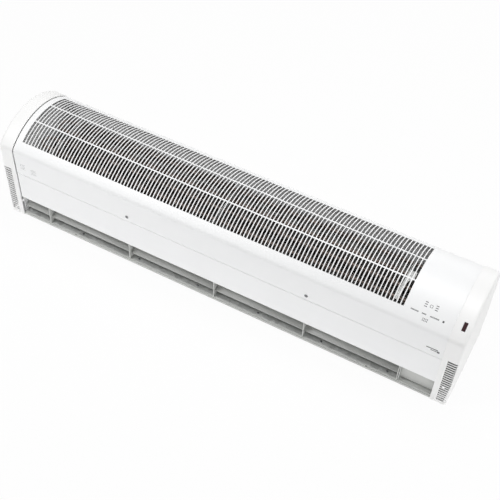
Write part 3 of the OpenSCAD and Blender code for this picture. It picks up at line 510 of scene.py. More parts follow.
def folded(corners, radius, steps):
    """A path of straight runs with each inner corner turned into an arc. The arc starts
    radius × tan(half the turn) before the corner, and turns about the point one radius to the
    side of its start."""
    corners = np.asarray(corners, float)
    runs = np.diff(corners, axis=0)
    ahead = runs / np.linalg.norm(runs, axis=1, keepdims=True)
    arriving, leaving = ahead[:-1], ahead[1:]
    turn = np.arctan2(
        arriving[:, 0] * leaving[:, 1] - arriving[:, 1] * leaving[:, 0],
        np.sum(arriving * leaving, axis=1),
    )
    start = corners[1:-1] - arriving * (radius * np.tan(np.abs(turn) / 2))[:, None]
    aside = np.sign(turn)[:, None] * np.stack([-arriving[:, 1], arriving[:, 0]], axis=-1)
    centre = start + radius * aside
    angles = turn[:, None] * np.linspace(0, 1, steps)
    spoke = -radius * aside
    turned = np.stack(
        [
            spoke[:, :1] * np.cos(angles) - spoke[:, 1:] * np.sin(angles),
            spoke[:, :1] * np.sin(angles) + spoke[:, 1:] * np.cos(angles),
        ],
        axis=-1,
    )
    arcs = (centre[:, None] + turned).reshape(-1, 2)
    return np.concatenate([corners[:1], arcs, corners[-1:]])


# ---- finishes ----


class Signal:
    """A number that changes over a surface: sums and products of signals add Math nodes."""

    def __init__(self, finish, socket):
        self.finish = finish
        self.socket = socket

    def maths(self, operation, first, second):
        """One Math node on two values."""
        return self.finish.node("ShaderNodeMath", {0: first, 1: second}, operation=operation)

    def __add__(self, other):
        return self.maths("ADD", self, other)

    def __sub__(self, other):
        return self.maths("SUBTRACT", self, other)

    def __rsub__(self, other):
        return self.maths("SUBTRACT", other, self)

    def __mul__(self, other):
        return self.maths("MULTIPLY", self, other)

    def __pow__(self, other):
        return self.maths("POWER", self, other)

    def __gt__(self, other):
        return self.maths("GREATER_THAN", self, other)

    __radd__ = __add__
    __rmul__ = __mul__


class Finish:
    """A material under construction, which ends in one Principled shader."""

    def __init__(self, name, roughness, metallic=0.0, **constants):
        old = bpy.data.materials.get(name)
        if old:
            bpy.data.materials.remove(old)
        self.material = bpy.data.materials.new(name)
        self.material.use_nodes = True
        self.tree = self.material.node_tree
        self.shader = self.tree.nodes["Principled BSDF"]
        self.set("Roughness", roughness)
        self.set("Metallic", metallic)
        for name_of_input, value in constants.items():
            self.set(name_of_input.replace("_", " "), value)
        self.place = self.node("ShaderNodeTexCoord", output="Object")

    def set(self, name_of_input, value):
        """Gives one of the shader's inputs a constant or a signal."""
        socket = self.shader.inputs[name_of_input]
        if isinstance(value, Signal):
            self.tree.links.new(value.socket, socket)
        else:
            socket.default_value = value

    def node(self, kind, inputs=None, output=0, **settings):
        """Adds a node: first its settings, then the values or links of its inputs."""
        node = self.tree.nodes.new(kind)
        for setting, value in settings.items():
            setattr(node, setting, value)
        for key, value in (inputs or {}).items():
            if isinstance(value, Signal):
                self.tree.links.new(value.socket, node.inputs[key])
            else:
                node.inputs[key].default_value = value
        return Signal(self, node.outputs[output])

    def stretched(self, stretch, shift=(0.0, 0.0, 0.0)):
        """Object coordinates, scaled and shifted."""
        return self.node(
            "ShaderNodeMapping", {"Vector": self.place, "Scale": stretch, "Location": shift}
        )

    def noise(self, size, detail=2.0, stretch=(1.0, 1.0, 1.0)):
        """Soft noise from 0 to 1 whose blotches are about size across, drawn out by stretch."""
        return self.node(
            "ShaderNodeTexNoise",
            {"Vector": self.stretched(stretch), "Scale": 1.0 / size, "Detail": detail},
        )

    def cells(self, size, output="Color"):
        """Random cells about size across: a colour for each, or the distance from its middle."""
        return self.node(
            "ShaderNodeTexVoronoi", {"Vector": self.place, "Scale": 1.0 / size}, output=output
        )

    def axis(self, name):
        """One coordinate of the place on the object."""
        return self.node("ShaderNodeSeparateXYZ", {"Vector": self.place}, output=name)

    def wave(self, signal, period):
        """A sine of the signal, from 0 to 1."""
        turns = signal * (2 * np.pi / period)
        return self.node("ShaderNodeMath", {0: turns}, operation="SINE") * 0.5 + 0.5

    def weave(self, period):
        """Threads that cross: a wave along X times a wave along Z."""
        return self.wave(self.axis("X"), period) * self.wave(self.axis("Z"), period)

    def mix(self, share, first, second):
        """A colour between two others."""
        return self.node(
            "ShaderNodeMix", {0: share, 6: first, 7: second}, output=2, data_type="RGBA"
        )

    def tint(self, share, colour, low, high):
        """Colours the surface between two shades of one colour, each given as a factor."""
        self.set("Base Color", self.mix(share, shade(colour, low), shade(colour, high)))

    def bump(self, height, depth):
        """Presses a height signal into the surface, depth deep."""
        normal = self.node("ShaderNodeBump", {"Height": height, "Distance": depth, "Strength": 1.0})
        self.set("Normal", normal)


def shade(colour, factor):
    """A colour made darker or lighter, as four numbers."""
    return tuple(min(1.0, channel * factor) for channel in colour) + (1.0,)


# Colours of what lies on a surface or over it
DUST = (0.3, 0.29, 0.27, 1.0)
VARNISH = (0.3, 0.17, 0.08, 1.0)
OXIDE = (0.12, 0.12, 0.13, 1.0)
SOLDER_PAD = (0.75, 0.74, 0.7, 1.0)


def powder_coat(name, colour):
    """Satin powder coat: orange peel of about a millimetre, and a faint cloudiness."""
    finish = Finish(name, 0.42)
    cloud = finish.noise(0.12)
    peel = finish.noise(1.4 * MM, detail=3.0)
    speck = finish.cells(0.9 * MM, output="Distance")
    finish.tint(cloud, colour, 0.985, 1.01)
    finish.set("Roughness", peel * 0.10 + 0.37)
    finish.bump(peel + speck * 0.3, 0.035 * MM)
    return finish


def moulded_plastic(name, colour, roughness=0.4, grain=0.6 * MM):
    """Moulded plastic: a fine spark-eroded grain and slow flow clouds."""
    finish = Finish(name, roughness)
    grains = finish.noise(grain, detail=4.0)
    flow = finish.noise(0.07, stretch=(1.0, 1.0, 0.4))
    finish.tint(flow, colour, 0.975, 1.01)
    finish.set("Roughness", grains * 0.12 + (roughness - 0.06))
    finish.bump(grains, 0.03 * MM)
    return finish


def galvanised_sheet(name, colour):
    """Zinc spangle: crystals of about a centimetre, each with its own grey and gloss."""
    finish = Finish(name, 0.4, metallic=0.5)
    crystal = finish.cells(9 * MM)
    tone = finish.node("ShaderNodeSeparateColor", {0: crystal}, output=0)
    gloss = finish.node("ShaderNodeSeparateColor", {0: crystal}, output=1)
    feather = finish.noise(1.2 * MM, stretch=(1.0, 3.0, 1.0))
    stain = finish.noise(0.05)
    grey = tone * 0.6 + feather * 0.25 + stain * 0.15
    finish.tint(grey, colour, 0.72, 1.12)
    finish.set("Roughness", gloss * 0.25 + 0.3)
    finish.bump(feather + tone, 0.02 * MM)
    return finish


def anodised_rotor(name, colour):
    """Dark rotor: brushed along the blades, with a little dust."""
    finish = Finish(name, 0.5, metallic=0.6)
    brush = finish.noise(0.8 * MM, stretch=(0.02, 1.0, 1.0))
    dust = finish.noise(0.03)
    dusty = dust**3.0 * 0.5
    finish.set("Base Color", finish.mix(dusty, shade(colour, 1.0), DUST))
    finish.set("Roughness", brush * 0.2 + dusty * 0.4 + 0.4)
    finish.bump(brush, 0.03 * MM)
    return finish


def ground_steel(name, colour, metallic=0.95):
    """Ground or plated steel: fine rings round the long axis, and handling marks."""
    finish = Finish(name, 0.3, metallic=metallic)
    rings = finish.noise(0.35 * MM, stretch=(1.0, 0.05, 0.05))
    marks = finish.noise(6 * MM)
    finish.tint(marks, colour, 0.86, 1.1)
    finish.set("Roughness", rings * 0.15 + marks * 0.1 + 0.2)
    finish.bump(rings, 0.008 * MM)
    return finish


def black_rubber(name, colour):
    """Moulded rubber: dull, with a bloom and a fine pebble."""
    finish = Finish(name, 0.75)
    bloom = finish.noise(9 * MM)
    pebble = finish.cells(0.5 * MM, output="Distance")
    finish.tint(bloom, colour, 0.8, 1.6)
    finish.set("Roughness", bloom * 0.15 + 0.68)
    finish.bump(pebble, 0.03 * MM)
    return finish


def sintered_bronze(name, colour):
    """Pressed bronze: grains with oil-dark pores between them."""
    finish = Finish(name, 0.45, metallic=0.9)
    pores = finish.cells(0.25 * MM, output="Distance")
    oil = finish.noise(3 * MM)
    finish.tint(pores * 0.5 + oil * 0.4, colour, 1.05, 0.4)
    finish.set("Roughness", pores * 0.3 + 0.32)
    finish.bump(pores, -0.02 * MM)
    return finish


def varnished_core(name, colour):
    """Stack of thin laminations along X under clear brown varnish."""
    finish = Finish(name, 0.35, metallic=0.5)
    leaf = finish.wave(finish.axis("X"), 0.5 * MM)
    varnish = finish.noise(8 * MM)
    tint = finish.mix(leaf, shade(colour, 0.7), shade(colour, 1.15))
    finish.set("Base Color", finish.mix(varnish * 0.4, tint, VARNISH))
    finish.set("Roughness", leaf * 0.15 + 0.3)
    finish.bump(leaf, 0.05 * MM)
    return finish


def copper_winding(name, colour):
    """Wound enamelled wire: the distance from the shaft's axis gives a ridge for each turn."""
    finish = Finish(name, 0.3, metallic=0.8, Coat_Weight=0.3)
    shaft_low, shaft_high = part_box("motor_shaft")
    middle = (shaft_low + shaft_high) / 2
    outward = finish.node(
        "ShaderNodeVectorMath",
        {0: finish.stretched((0.0, 1.0, 1.0), (0.0, -middle.y, -middle.z))},
        output="Value",
        operation="LENGTH",
    )
    wire = finish.wave(outward, 0.7 * MM)
    tangle = finish.noise(2 * MM)
    finish.tint(wire * 0.7 + tangle * 0.3, colour, 0.55, 1.2)
    finish.set("Roughness", tangle * 0.2 + 0.25)
    finish.bump(wire + tangle * 0.3, 0.15 * MM)
    return finish


def cast_alloy(name, colour):
    """Die-cast metal: dull skin with flow marks and a sandy surface."""
    finish = Finish(name, 0.55, metallic=0.75)
    flow = finish.noise(0.012, stretch=(2.0, 1.0, 0.6))
    sand = finish.noise(0.5 * MM, detail=4.0)
    finish.tint(flow, colour, 0.8, 1.08)
    finish.set("Roughness", sand * 0.25 + 0.42)
    finish.bump(sand, 0.04 * MM)
    return finish


def heated_steel(name, colour):
    """Heater rods: bands of straw, brown and blue-grey tint along X, with a dull scale."""
    finish = Finish(name, 0.5, metallic=0.7)
    band = finish.noise(0.06, detail=1.0, stretch=(1.0, 0.3, 0.3))
    scale = finish.noise(1.5 * MM, detail=3.0)
    warm = finish.mix(band, shade(colour, 0.3), shade(colour, 0.75))
    finish.set("Base Color", finish.mix(scale * 0.5, warm, OXIDE))
    finish.set("Roughness", scale * 0.3 + 0.38)
    finish.bump(scale, 0.03 * MM)
    return finish


def circuit_board(name, colour):
    """Solder mask over copper tracks: tracks show lighter, and pads shine."""
    finish = Finish(name, 0.3)
    tracks = finish.node(
        "ShaderNodeTexBrick",
        {"Vector": finish.stretched((1.0, 1.0, 1.0)), "Scale": 90.0, "Mortar Size": 0.06},
        output="Fac",
        offset=0.35,
        squash=1.6,
    )
    pads = finish.cells(4 * MM, output="Distance") > 0.62
    cloth = finish.weave(0.5 * MM)
    mask = finish.mix(tracks * 0.6 + cloth * 0.1, shade(colour, 0.8), shade(colour, 1.9))
    finish.set("Base Color", finish.mix(pads, mask, SOLDER_PAD))
    finish.set("Metallic", pads * 0.9)
    finish.set("Roughness", cloth * 0.1 + 0.24)
    finish.bump(tracks + pads, 0.04 * MM)
    return finish


def red_lens(name, colour):
    """Deep red filter plastic: glossy, with its colour cut to between a tenth and a fifth all over,
    as painted shade of the dark hollow behind it.
    """
    finish = Finish(name, 0.08, Specular_IOR_Level=0.35)
    depth = finish.noise(4 * MM)
    haze = finish.noise(0.8 * MM)
    # Painted shade: the lens darkened to near black for the dark hollow behind it
    finish.tint(depth, colour, 0.1, 0.2)
    finish.set("Roughness", haze * 0.05 + 0.06)
    finish.bump(haze, 0.004 * MM)
    return finish


def printed_ink(name, colour):
    """Matt screen-printed ink: thin spots show at the edge of the mesh's threads."""
    finish = Finish(name, 0.6)
    threads = finish.weave(0.3 * MM)
    spots = finish.noise(0.8 * MM)
    finish.tint(threads * 0.15 + spots * 0.2, colour, 0.9, 1.5)
    finish.set("Roughness", spots * 0.15 + 0.52)
    finish.bump(threads, 0.003 * MM)
    return finish


MAKERS = {
    "casing_paint": powder_coat,
    "cap_plastic": moulded_plastic,
    "rail_paint": powder_coat,
    "zinc_sheet": galvanised_sheet,
    "rotor_metal": anodised_rotor,
    "shaft_steel": ground_steel,
    "rubber_black": black_rubber,
    "bronze": sintered_bronze,
    "motor_core": varnished_core,
    "winding_copper": copper_winding,
    "motor_alloy": cast_alloy,
    "heater_steel": heated_steel,
    "board_green": circuit_board,
    "nylon_white": moulded_plastic,
    "cutout_black": moulded_plastic,
    "relay_blue": moulded_plastic,
    "capacitor_case": moulded_plastic,
    "window_red": red_lens,
    "screw_dark": ground_steel,
    "screw_zinc": ground_steel,
}
INK = "printed_ink"
INK_COLOUR = (0.09, 0.092, 0.095)

# A node with another finish than the record names, and the vane's finish: the rail's colour made
# darker by a factor
SEEN_AS = {"left_end_plate": "casing_paint"}
VANE_PAINT = "vane_paint"
VANE_SHADE = 0.78


# ---- operators ----


class AIRCURTAIN_OT_stage(bpy.types.Operator):
    """Sets up the camera, the soft lamps, the pale floor and the even sky"""

    bl_idname = "aircurtain.stage"
    bl_label = "Stage"

    def execute(self, context):
        scene = context.scene
        stage = scene.aircurtain_stage
        scene.view_settings.view_transform = "Standard"
        self.add_camera(scene, stage)
        middle = (CAD_BOX[0] + CAD_BOX[1]) / 2
        for name, (place, size) in LAMPS.items():
            place = Vector(place)
            aim = place + UP if name == "low" else middle
            self.add_lamp(scene, name + "_lamp", place, aim, size, getattr(stage, name + "_power"))
        self.add_floor(stage)
        self.add_sky(scene, stage)
        return {"FINISHED"}

    def add_camera(self, scene, stage):
        """A camera without shift that looks at its aim and leans by its roll."""
        place = Vector(stage.camera_place)
        look = (Vector(stage.camera_aim) - place).to_track_quat("-Z", "Y")
        camera = bpy.data.objects.new("camera", bpy.data.cameras.new("camera"))
        camera.data.sensor_width = 36.0
        camera.data.lens = stage.camera_lens
        camera.location = place
        camera.rotation_mode = "QUATERNION"
        camera.rotation_quaternion = look @ Quaternion((0, 0, 1), stage.camera_roll)
        scene.collection.objects.link(camera)
        scene.camera = camera

    def add_lamp(self, scene, name, place, aim, size, power):
        """A rectangular soft lamp that shines from its place towards its aim."""
        lamp = bpy.data.objects.new(name, bpy.data.lights.new(name, "AREA"))
        lamp.data.shape = "RECTANGLE"
        lamp.data.size, lamp.data.size_y = size
        lamp.data.energy = power
        lamp.location = place
        lamp.rotation_mode = "QUATERNION"
        lamp.rotation_quaternion = (aim - place).to_track_quat("-Z", "Y")
        lamp.visible_camera = False
        scene.collection.objects.link(lamp)

    def add_floor(self, stage):
        """A level sheet under the object, lifted to white for the camera, with its shadow."""
        reach = np.linspace(-FLOOR_REACH, FLOOR_REACH, 11)
        x, y = np.meshgrid(reach, reach, indexing="ij")
        level = np.full(x.shape, CAD_BOX[0].z - 0.1 * MM)
        floor = Shell().grid(np.stack([x, y, level], axis=-1)).build("floor")
        paint = Finish("floor_paint", 0.9, Specular_IOR_Level=0.0)
        pale = tuple(stage.floor_colour) + (1.0,)
        cloud = paint.noise(0.8)
        paint.set("Base Color", paint.mix(cloud, pale, shade(stage.floor_colour, 1.02)))
        seen = self.seen_directly(paint)
        glow = paint.node("ShaderNodeEmission", {"Color": (1, 1, 1, 1), "Strength": 1.0})
        surface = Signal(paint, paint.shader.outputs[0])
        both = paint.node("ShaderNodeMixShader", {0: seen * stage.floor_glow, 1: surface, 2: glow})
        output = paint.tree.nodes["Material Output"]
        paint.tree.links.new(both.socket, output.inputs["Surface"])
        floor.data.materials.append(paint.material)

    def seen_directly(self, finish):
        """1 for rays from the camera, and for what is seen in gloss or through glass."""
        camera = finish.node("ShaderNodeLightPath", output="Is Camera Ray")
        gloss = finish.node("ShaderNodeLightPath", output="Is Glossy Ray")
        glass = finish.node("ShaderNodeLightPath", output="Is Transmission Ray")
        return (camera + gloss + glass) > 0.5

    def add_sky(self, scene, stage):
        """Even white light all round, from a sky that looks pure white itself."""
        world = bpy.data.worlds.new("sky")
        world.use_nodes = True
        scene.world = world
        sky = SkyTree(world)
        seen = self.seen_directly(sky)
        sky.background.inputs["Color"].default_value = (1, 1, 1, 1)
        strength = seen * (1.0 - stage.sky_light) + stage.sky_light
        sky.tree.links.new(strength.socket, sky.background.inputs["Strength"])


class SkyTree(Finish):
    """The sky's node tree, with the same way of adding nodes as a finish."""

    def __init__(self, world):
        self.tree = world.node_tree
        self.background = self.tree.nodes["Background"]


class AIRCURTAIN_OT_finishes(bpy.types.Operator):
    """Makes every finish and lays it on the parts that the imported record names"""

    bl_idname = "aircurtain.finishes"
    bl_label = "Finishes"

    def execute(self, context):
        colours = context.scene.aircurtain_colours
        for slot, maker in MAKERS.items():
            maker(slot, tuple(getattr(colours, slot)))
        printed_ink(INK, INK_COLOUR)
        powder_coat(VANE_PAINT, tuple(VANE_SHADE * channel for channel in colours.rail_paint))
        for part in frame["record"]["subparts"]:
            mesh = frame["nodes"][part["node"]].data
            finish = SEEN_AS.get(part["node"], part["material_slot"])
            mesh.materials.clear()
            mesh.materials.append(bpy.data.materials[finish])
        return {"FINISHED"}


class AIRCURTAIN_OT_grille_cover(bpy.types.Operator):
    """Builds the curved cover with its rows of inlet slots"""

    bl_idname = "aircurtain.grille_cover"
    bl_label = "Grille cover"

    def execute(self, context):
        sizes = context.scene.aircurtain_casing
        grille = context.scene.aircurtain_grille
        section = Section(sizes)
        rows = self.row_angles(section, grille)
        start, end = section.turns()
        angles = between([start, *rows.ravel(), end], spacing=CURVE_STEP)[1:-1]
        front = between([COVER_LOW.z, section.corner(-1)[1]], spacing=20 * MM)[:-1]
        lip_end = section.height_at(section.back, 0) - sizes.lip_drop
        back = between([section.corner(1)[1], lip_end], spacing=8 * MM)[1:]
        points, _ = section.outline(front, angles, back)
        places, slots = self.slot_lines(grille, COVER_LOW.x + sizes.left_gap)
        middle = middles(points)
        around_centre = middle - section.centre
        angle = np.arctan2(around_centre[:, 1], around_centre[:, 0])
        in_row = np.any((angle < rows[:, :1]) & (angle > rows[:, 1:]), axis=0)
        cut = slots[:, None] & in_row[None, :]
        cover = Shell().grid(sweep(points, places), keep=~cut).build("grille_cover_shell")
        thicken(cover, sizes.sheet)
        soften(cover, sizes.edge_round)
        dress(settle(cover), "casing_paint", ["grille_cover"])
        return {"FINISHED"}

    def row_angles(self, section, grille):
        """First and last angle of each row, from the front: equal rows with a bar between."""
        first = section.angle_at(section.front + grille.front_strip)
        last = section.angle_at(section.back - grille.back_strip)
        bar = grille.row_bar / section.radius
        span = (first - last - (grille.rows - 1) * bar) / grille.rows
        starts = first - np.arange(grille.rows) * (span + bar)
        return np.stack([starts, starts - span], axis=-1)

    def slot_lines(self, grille, start):
        """Lines across the cover at every slot's sides, and whether a slot follows each line."""
        left = COVER_LOW.x + grille.left_strip
        room = COVER_HIGH.x - grille.right_strip - left
        count = int((room + grille.slot_pitch - grille.slot_width) / grille.slot_pitch)
        starts = left + np.arange(count) * grille.slot_pitch
        lines = np.sort(np.concatenate([starts, starts + grille.slot_width]))
        plain = np.linspace(lines[-1], COVER_HIGH.x, 6)[1:]
        places = np.concatenate([[start], lines, plain])
        slots = np.zeros(len(places) - 1, bool)
        slots[1 : 2 * count : 2] = True
        return places, slots


class AIRCURTAIN_OT_front_panel(bpy.types.Operator):
    """Builds the folded front panel: flange, face and the step behind the cover"""

    bl_idname = "aircurtain.front_panel"
    bl_label = "Front panel"

    def execute(self, context):
        sizes = context.scene.aircurtain_casing
        face, inside = PANEL_LOW.y, PANEL_LOW.y + sizes.joggle
        seam = COVER_LOW.z - sizes.seam_gap
        path = folded(
            [
                (face + sizes.flange, PANEL_LOW.z),
                (face, PANEL_LOW.z),
                (face, seam - sizes.joggle),
                (inside, seam),
                (inside, PANEL_HIGH.z),
            ],
            sizes.bend_round,
            steps=7,
        )
        places = np.linspace(PANEL_LOW.x + sizes.left_gap, PANEL_HIGH.x, 25)
        panel = Shell().grid(sweep(path, places)).build("front_panel_sheet")
        thicken(panel, sizes.sheet)
        soften(panel, sizes.edge_round)
        dress(settle(panel), "casing_paint", ["front_panel"])
        return {"FINISHED"}


class AIRCURTAIN_OT_end_caps(bpy.types.Operator):
    """Builds the two moulded end caps with their slits, and the window's opening in one"""

    bl_idname = "aircurtain.end_caps"
    bl_label = "End caps"

    def execute(self, context):
        sizes = context.scene.aircurtain_cap
        section = Section(context.scene.aircurtain_casing)
        for name, side, window in (("left_end_cap", -1, False), ("right_end_cap", 1, True)):
            points, keep = self.cap_grid(section, sizes, window)
            points[..., 0] = side * (self.seam(sizes) + points[..., 0])
            cap = Shell().grid(points, keep=keep, flip=side < 0).build(name + "_shell")
            thicken(
                cap, sizes.wall, sizes.slit_wall, lambda places: self.round_slits(places, sizes)
            )
            soften(cap, sizes.edge_round)
            settle(cap)
            self.bore_screw_seats(cap, sizes, side)
            dress(cap, "cap_plastic", [name])
        return {"FINISHED"}

    def seam(self, sizes):
        """Distance from the middle of the unit to the seam between the casing and a cap."""
        return CAP_HIGH.x - sizes.dome - sizes.width

    def round_slits(self, places, sizes):
        """Which points of a cap lie in the field of its slits, on the front."""
        out = np.abs(places[:, 0]) - self.seam(sizes)
        top = sizes.slit_low + sizes.slits * sizes.slit_pitch
        field = (out > sizes.slit_start - sizes.slit_margin) & (out < sizes.width)
        field &= (places[:, 2] > sizes.slit_low - sizes.slit_margin) & (places[:, 2] < top)
        return field & (places[:, 1] < COVER_LOW.y + sizes.edge_radius - sizes.proud)

    def cap_grid(self, section, sizes, window):
        """The cap's skin from the seam outwards, and which of its faces stay. Along the wall, a row
        is the casing's outline moved out by the proud height. On the quarter-round edge it moves
        in by radius × (1 − cos a) as it goes out by radius × sin a. On the end, it shrinks towards
        the middle of the base and swells by the dome."""
        # Rows from the seam outwards, with a row at each end of the slits and of the window
        flat_end = sizes.width - sizes.edge_radius
        slit_ends = (sizes.slit_start, sizes.width - sizes.slit_end)
        glass = LENS_MIDDLE - self.seam(sizes)
        glass_half = sizes.window_width / 2 + sizes.window_gap
        glass_ends = (glass - glass_half, glass + glass_half)
        flats = between([0.0, slit_ends[0], *glass_ends, flat_end], spacing=6 * MM)
        turn_at_slit = asin(min(1.0, (slit_ends[1] - flat_end) / sizes.edge_radius))
        turns = between([0.0, turn_at_slit, np.pi / 2], spacing=radians(12))[1:]

        # Columns up the front, over the curve and down the back, with one at each side of a slit
        lows = sizes.slit_low + np.arange(sizes.slits) * sizes.slit_pitch
        slit_lines = np.sort(np.concatenate([lows, lows + sizes.slit_height]))
        above = between([slit_lines[-1], section.corner(-1)[1]], spacing=9 * MM)[1:-1]
        front = np.concatenate([[0.0], slit_lines, above])
        start, end = section.turns()
        window_turn = section.angle_at(section.front + sizes.window_back)
        window_half = (sizes.window_length / 2 + sizes.window_gap) / section.radius
        window_turns = (window_turn + window_half, window_turn - window_half)
        angles = between([start, *window_turns, end], spacing=CURVE_STEP)[1:-1]
        back = between([section.corner(1)[1], 0.0], spacing=12 * MM)[1:]
        outline, normals = section.outline(front, angles, back)

        # The skin: the wall, the round edge, and the end in rings that shrink to one point
        walls = outline + sizes.proud * normals
        edge_out = flat_end + sizes.edge_radius * np.sin(turns)
        edge_in = sizes.proud - sizes.edge_radius * (1 - np.cos(turns))
        edges = outline + edge_in[:, None, None] * normals
        rings = np.linspace(1.0, 0.0, 22)[1:, None, None]
        ends = edges[-1] * rings
        wall_rows = sweep(walls, flats)
        edge_rows = np.concatenate(
            [np.broadcast_to(edge_out[:, None, None], edges.shape[:2] + (1,)), edges], axis=-1
        )
        swell = self.dome_height(section, sizes, ends)
        end_rows = np.concatenate([(sizes.width + swell)[..., None], ends], axis=-1)
        points = np.concatenate([wall_rows, edge_rows, end_rows])

        # The faces to leave out: each slit where the normal points straight to the front, and
        # the window on the curve
        across = middles(points[:, 0, 0])
        height = middles(outline[:, 1])
        on_front = middles(normals[:, 0]) < -0.999
        step = (height - sizes.slit_low) % sizes.slit_pitch
        in_slit = on_front & (height > sizes.slit_low) & (height < slit_lines[-1])
        in_slit &= step < sizes.slit_height
        beside = (across > slit_ends[0]) & (across < slit_ends[1])
        beside &= np.arange(len(across)) < len(flats) + len(turns) - 1
        cut = beside[:, None] & in_slit[None, :]
        if window:
            middle = middles(outline) - section.centre
            angle = np.arctan2(middle[:, 1], middle[:, 0])
            in_window = (angle < window_turns[0]) & (angle > window_turns[1])
            beside_window = (across > glass_ends[0]) & (across < glass_ends[1])
            cut |= beside_window[:, None] & in_window[None, :]
        return points, ~cut

    def dome_height(self, section, sizes, ends):
        """Dome × (1 − u²) × 4t(1 − t), with u the share of the half depth and t the share of the
        height of the end at that depth."""
        inset = sizes.edge_radius - sizes.proud
        u = ends[..., 0] / (section.back - inset)
        t = ends[..., 1] / section.height_at(ends[..., 0], inset)
        return sizes.dome * np.clip(1 - u**2, 0, None) * np.clip(4 * t * (1 - t), 0, None)

    def bore_screw_seats(self, cap, sizes, side):
        """Sinks a flat-bottomed bore round each of the cap's two screws."""
        low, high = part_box("cap_screws")
        turn = full_turn(48)
        reach = np.array([0.0, 1.0, 1.0, 0.0])[:, None] * sizes.screw_bore
        outside, bottom = CAP_HIGH.y + 1.0 * MM, CAP_HIGH.y - sizes.bore_depth
        x = side * (high.x - CAP_SCREW_HEAD) + reach * np.cos(turn)
        y = np.broadcast_to([[outside], [outside], [bottom], [bottom]], x.shape)
        cutter = Shell()
        for height in (low.z + CAP_SCREW_HEAD, high.z - CAP_SCREW_HEAD):
            z = height + reach * np.sin(turn)
            cutter.grid(np.stack([x, y, z], axis=-1), flip=True)
        tool = cutter.build("bore_cutter")
        carve = cap.modifiers.new("bores", "BOOLEAN")
        carve.operation = "DIFFERENCE"
        carve.object = tool
        settle(cap)
        bpy.data.objects.remove(tool)


class AIRCURTAIN_OT_lens(bpy.types.Operator):
    """Builds the domed lens of the receiver in the right cap"""

    bl_idname = "aircurtain.lens"
    bl_label = "Lens"

    def execute(self, context):
        sizes = context.scene.aircurtain_cap
        section = Section(context.scene.aircurtain_casing)
        lens = Shell().grid(self.pad(section, sizes)).build("receiver_lens")
        soften(lens, sizes.lens_edge)
        dress(settle(lens), "window_red", ["receiver_window"])
        return {"FINISHED"}

    def pad(self, section, sizes):
        """Rings of a rounded rectangle, where |across|^6 + |along|^6 = share^6. The crown stands
        rise × (1 − share^4) over the cap's skin, and the side goes straight down to the
        base, which closes in its middle."""
        turn = full_turn(96)
        rim = np.sign(around(turn)) * np.abs(around(turn)) ** (1 / 3)
        crown = np.linspace(0, 1, 14)
        share = np.concatenate([crown, [1.0, 0.0]])
        rise = np.concatenate([sizes.lens_rise * (1 - crown**4), [-sizes.lens_depth] * 2])
        across = share[:, None] * rim[:, 0] * sizes.window_width / 2
        along = share[:, None] * rim[:, 1] * sizes.window_length / 2
        angle = section.angle_at(section.front + sizes.window_back) - along / section.radius
        reach = section.radius + sizes.proud + rise[:, None, None]
        place = section.centre + reach * around(angle)
        return np.concatenate([(LENS_MIDDLE + across)[..., None], place], axis=-1)


class AIRCURTAIN_OT_screws(bpy.types.Operator):
    """Builds every screw with a domed head and a cross recess"""

    bl_idname = "aircurtain.screws"
    bl_label = "Screws"

    def execute(self, context):
        for node, kind in SCREWS.items():
            self.build_set(context.scene.aircurtain_screws, node, *kind)
        return {"FINISHED"}

    def build_set(self, sizes, node, finish, out, counts, head, height, shank):
        """One piece for a set of like screws, spread over the box of its CAD node."""
        low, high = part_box(node)
        along = Vector((1, 0, 0))
        aside = out.cross(along)
        depth = np.array([low, high]) @ np.array(out)
        top, tip = depth.max(), depth.min()
        spread = np.sort(np.array([low, high]) @ np.array(aside))
        xs = np.linspace(low.x + head, high.x - head, counts[0])
        sides = np.linspace(spread[0] + head, spread[1] - head, counts[1])
        screws = Shell()
        for number, (x, side) in enumerate((x, side) for x in xs for side in sides):
            local = self.screw(sizes, head, height, shank, top - tip, number)
            seat = x * np.array(along) + side * np.array(aside) + tip * np.array(out)
            axes = np.array([along, aside, out])
            screws.grid(seat + local @ axes)
        dress(screws.build(node + "_cross"), finish, [node])

    def screw(self, sizes, head, height, shank, length, number):
        """A turned profile from the crown to the tip: the crown falls as a circle's arc does,
        head × (1 − √(1 − share² ÷ 2)), and the cross sinks where a point lies within its width of
        one centre line and within its reach along the other. Each screw is turned a little
        further than the last."""
        turn = full_turn(72)
        share = np.concatenate([np.linspace(0, 0.96, 20), [1.0, 1.0]])
        fall = head * (1 - np.sqrt(1 - share**2 / 2))
        rim = length - height
        crown = np.maximum(length - fall, rim)
        crown[-1] = rim
        reach = np.concatenate([head * share, [shank, shank, 0.0]])
        level = np.concatenate([crown, [rim, 0.0, 0.0]])
        cross = reach[:, None, None] * around(turn + number) / head
        near, far = np.sort(np.abs(cross), axis=-1).transpose(2, 0, 1)
        sunk = self.ramp(sizes.cross_width - near, sizes.slope)
        sunk = sunk * self.ramp(sizes.cross_reach - far, sizes.slope)
        sunk[len(share):] = 0.0
        z = level[:, None] - sizes.cross_depth * head * sunk
        return np.stack([reach[:, None] * np.cos(turn), reach[:, None] * np.sin(turn), z], axis=-1)

    def ramp(self, inside, slope):
        """0 outside, 1 deep inside, with a straight slope between."""
        return np.clip(inside / slope + 0.5, 0.0, 1.0)


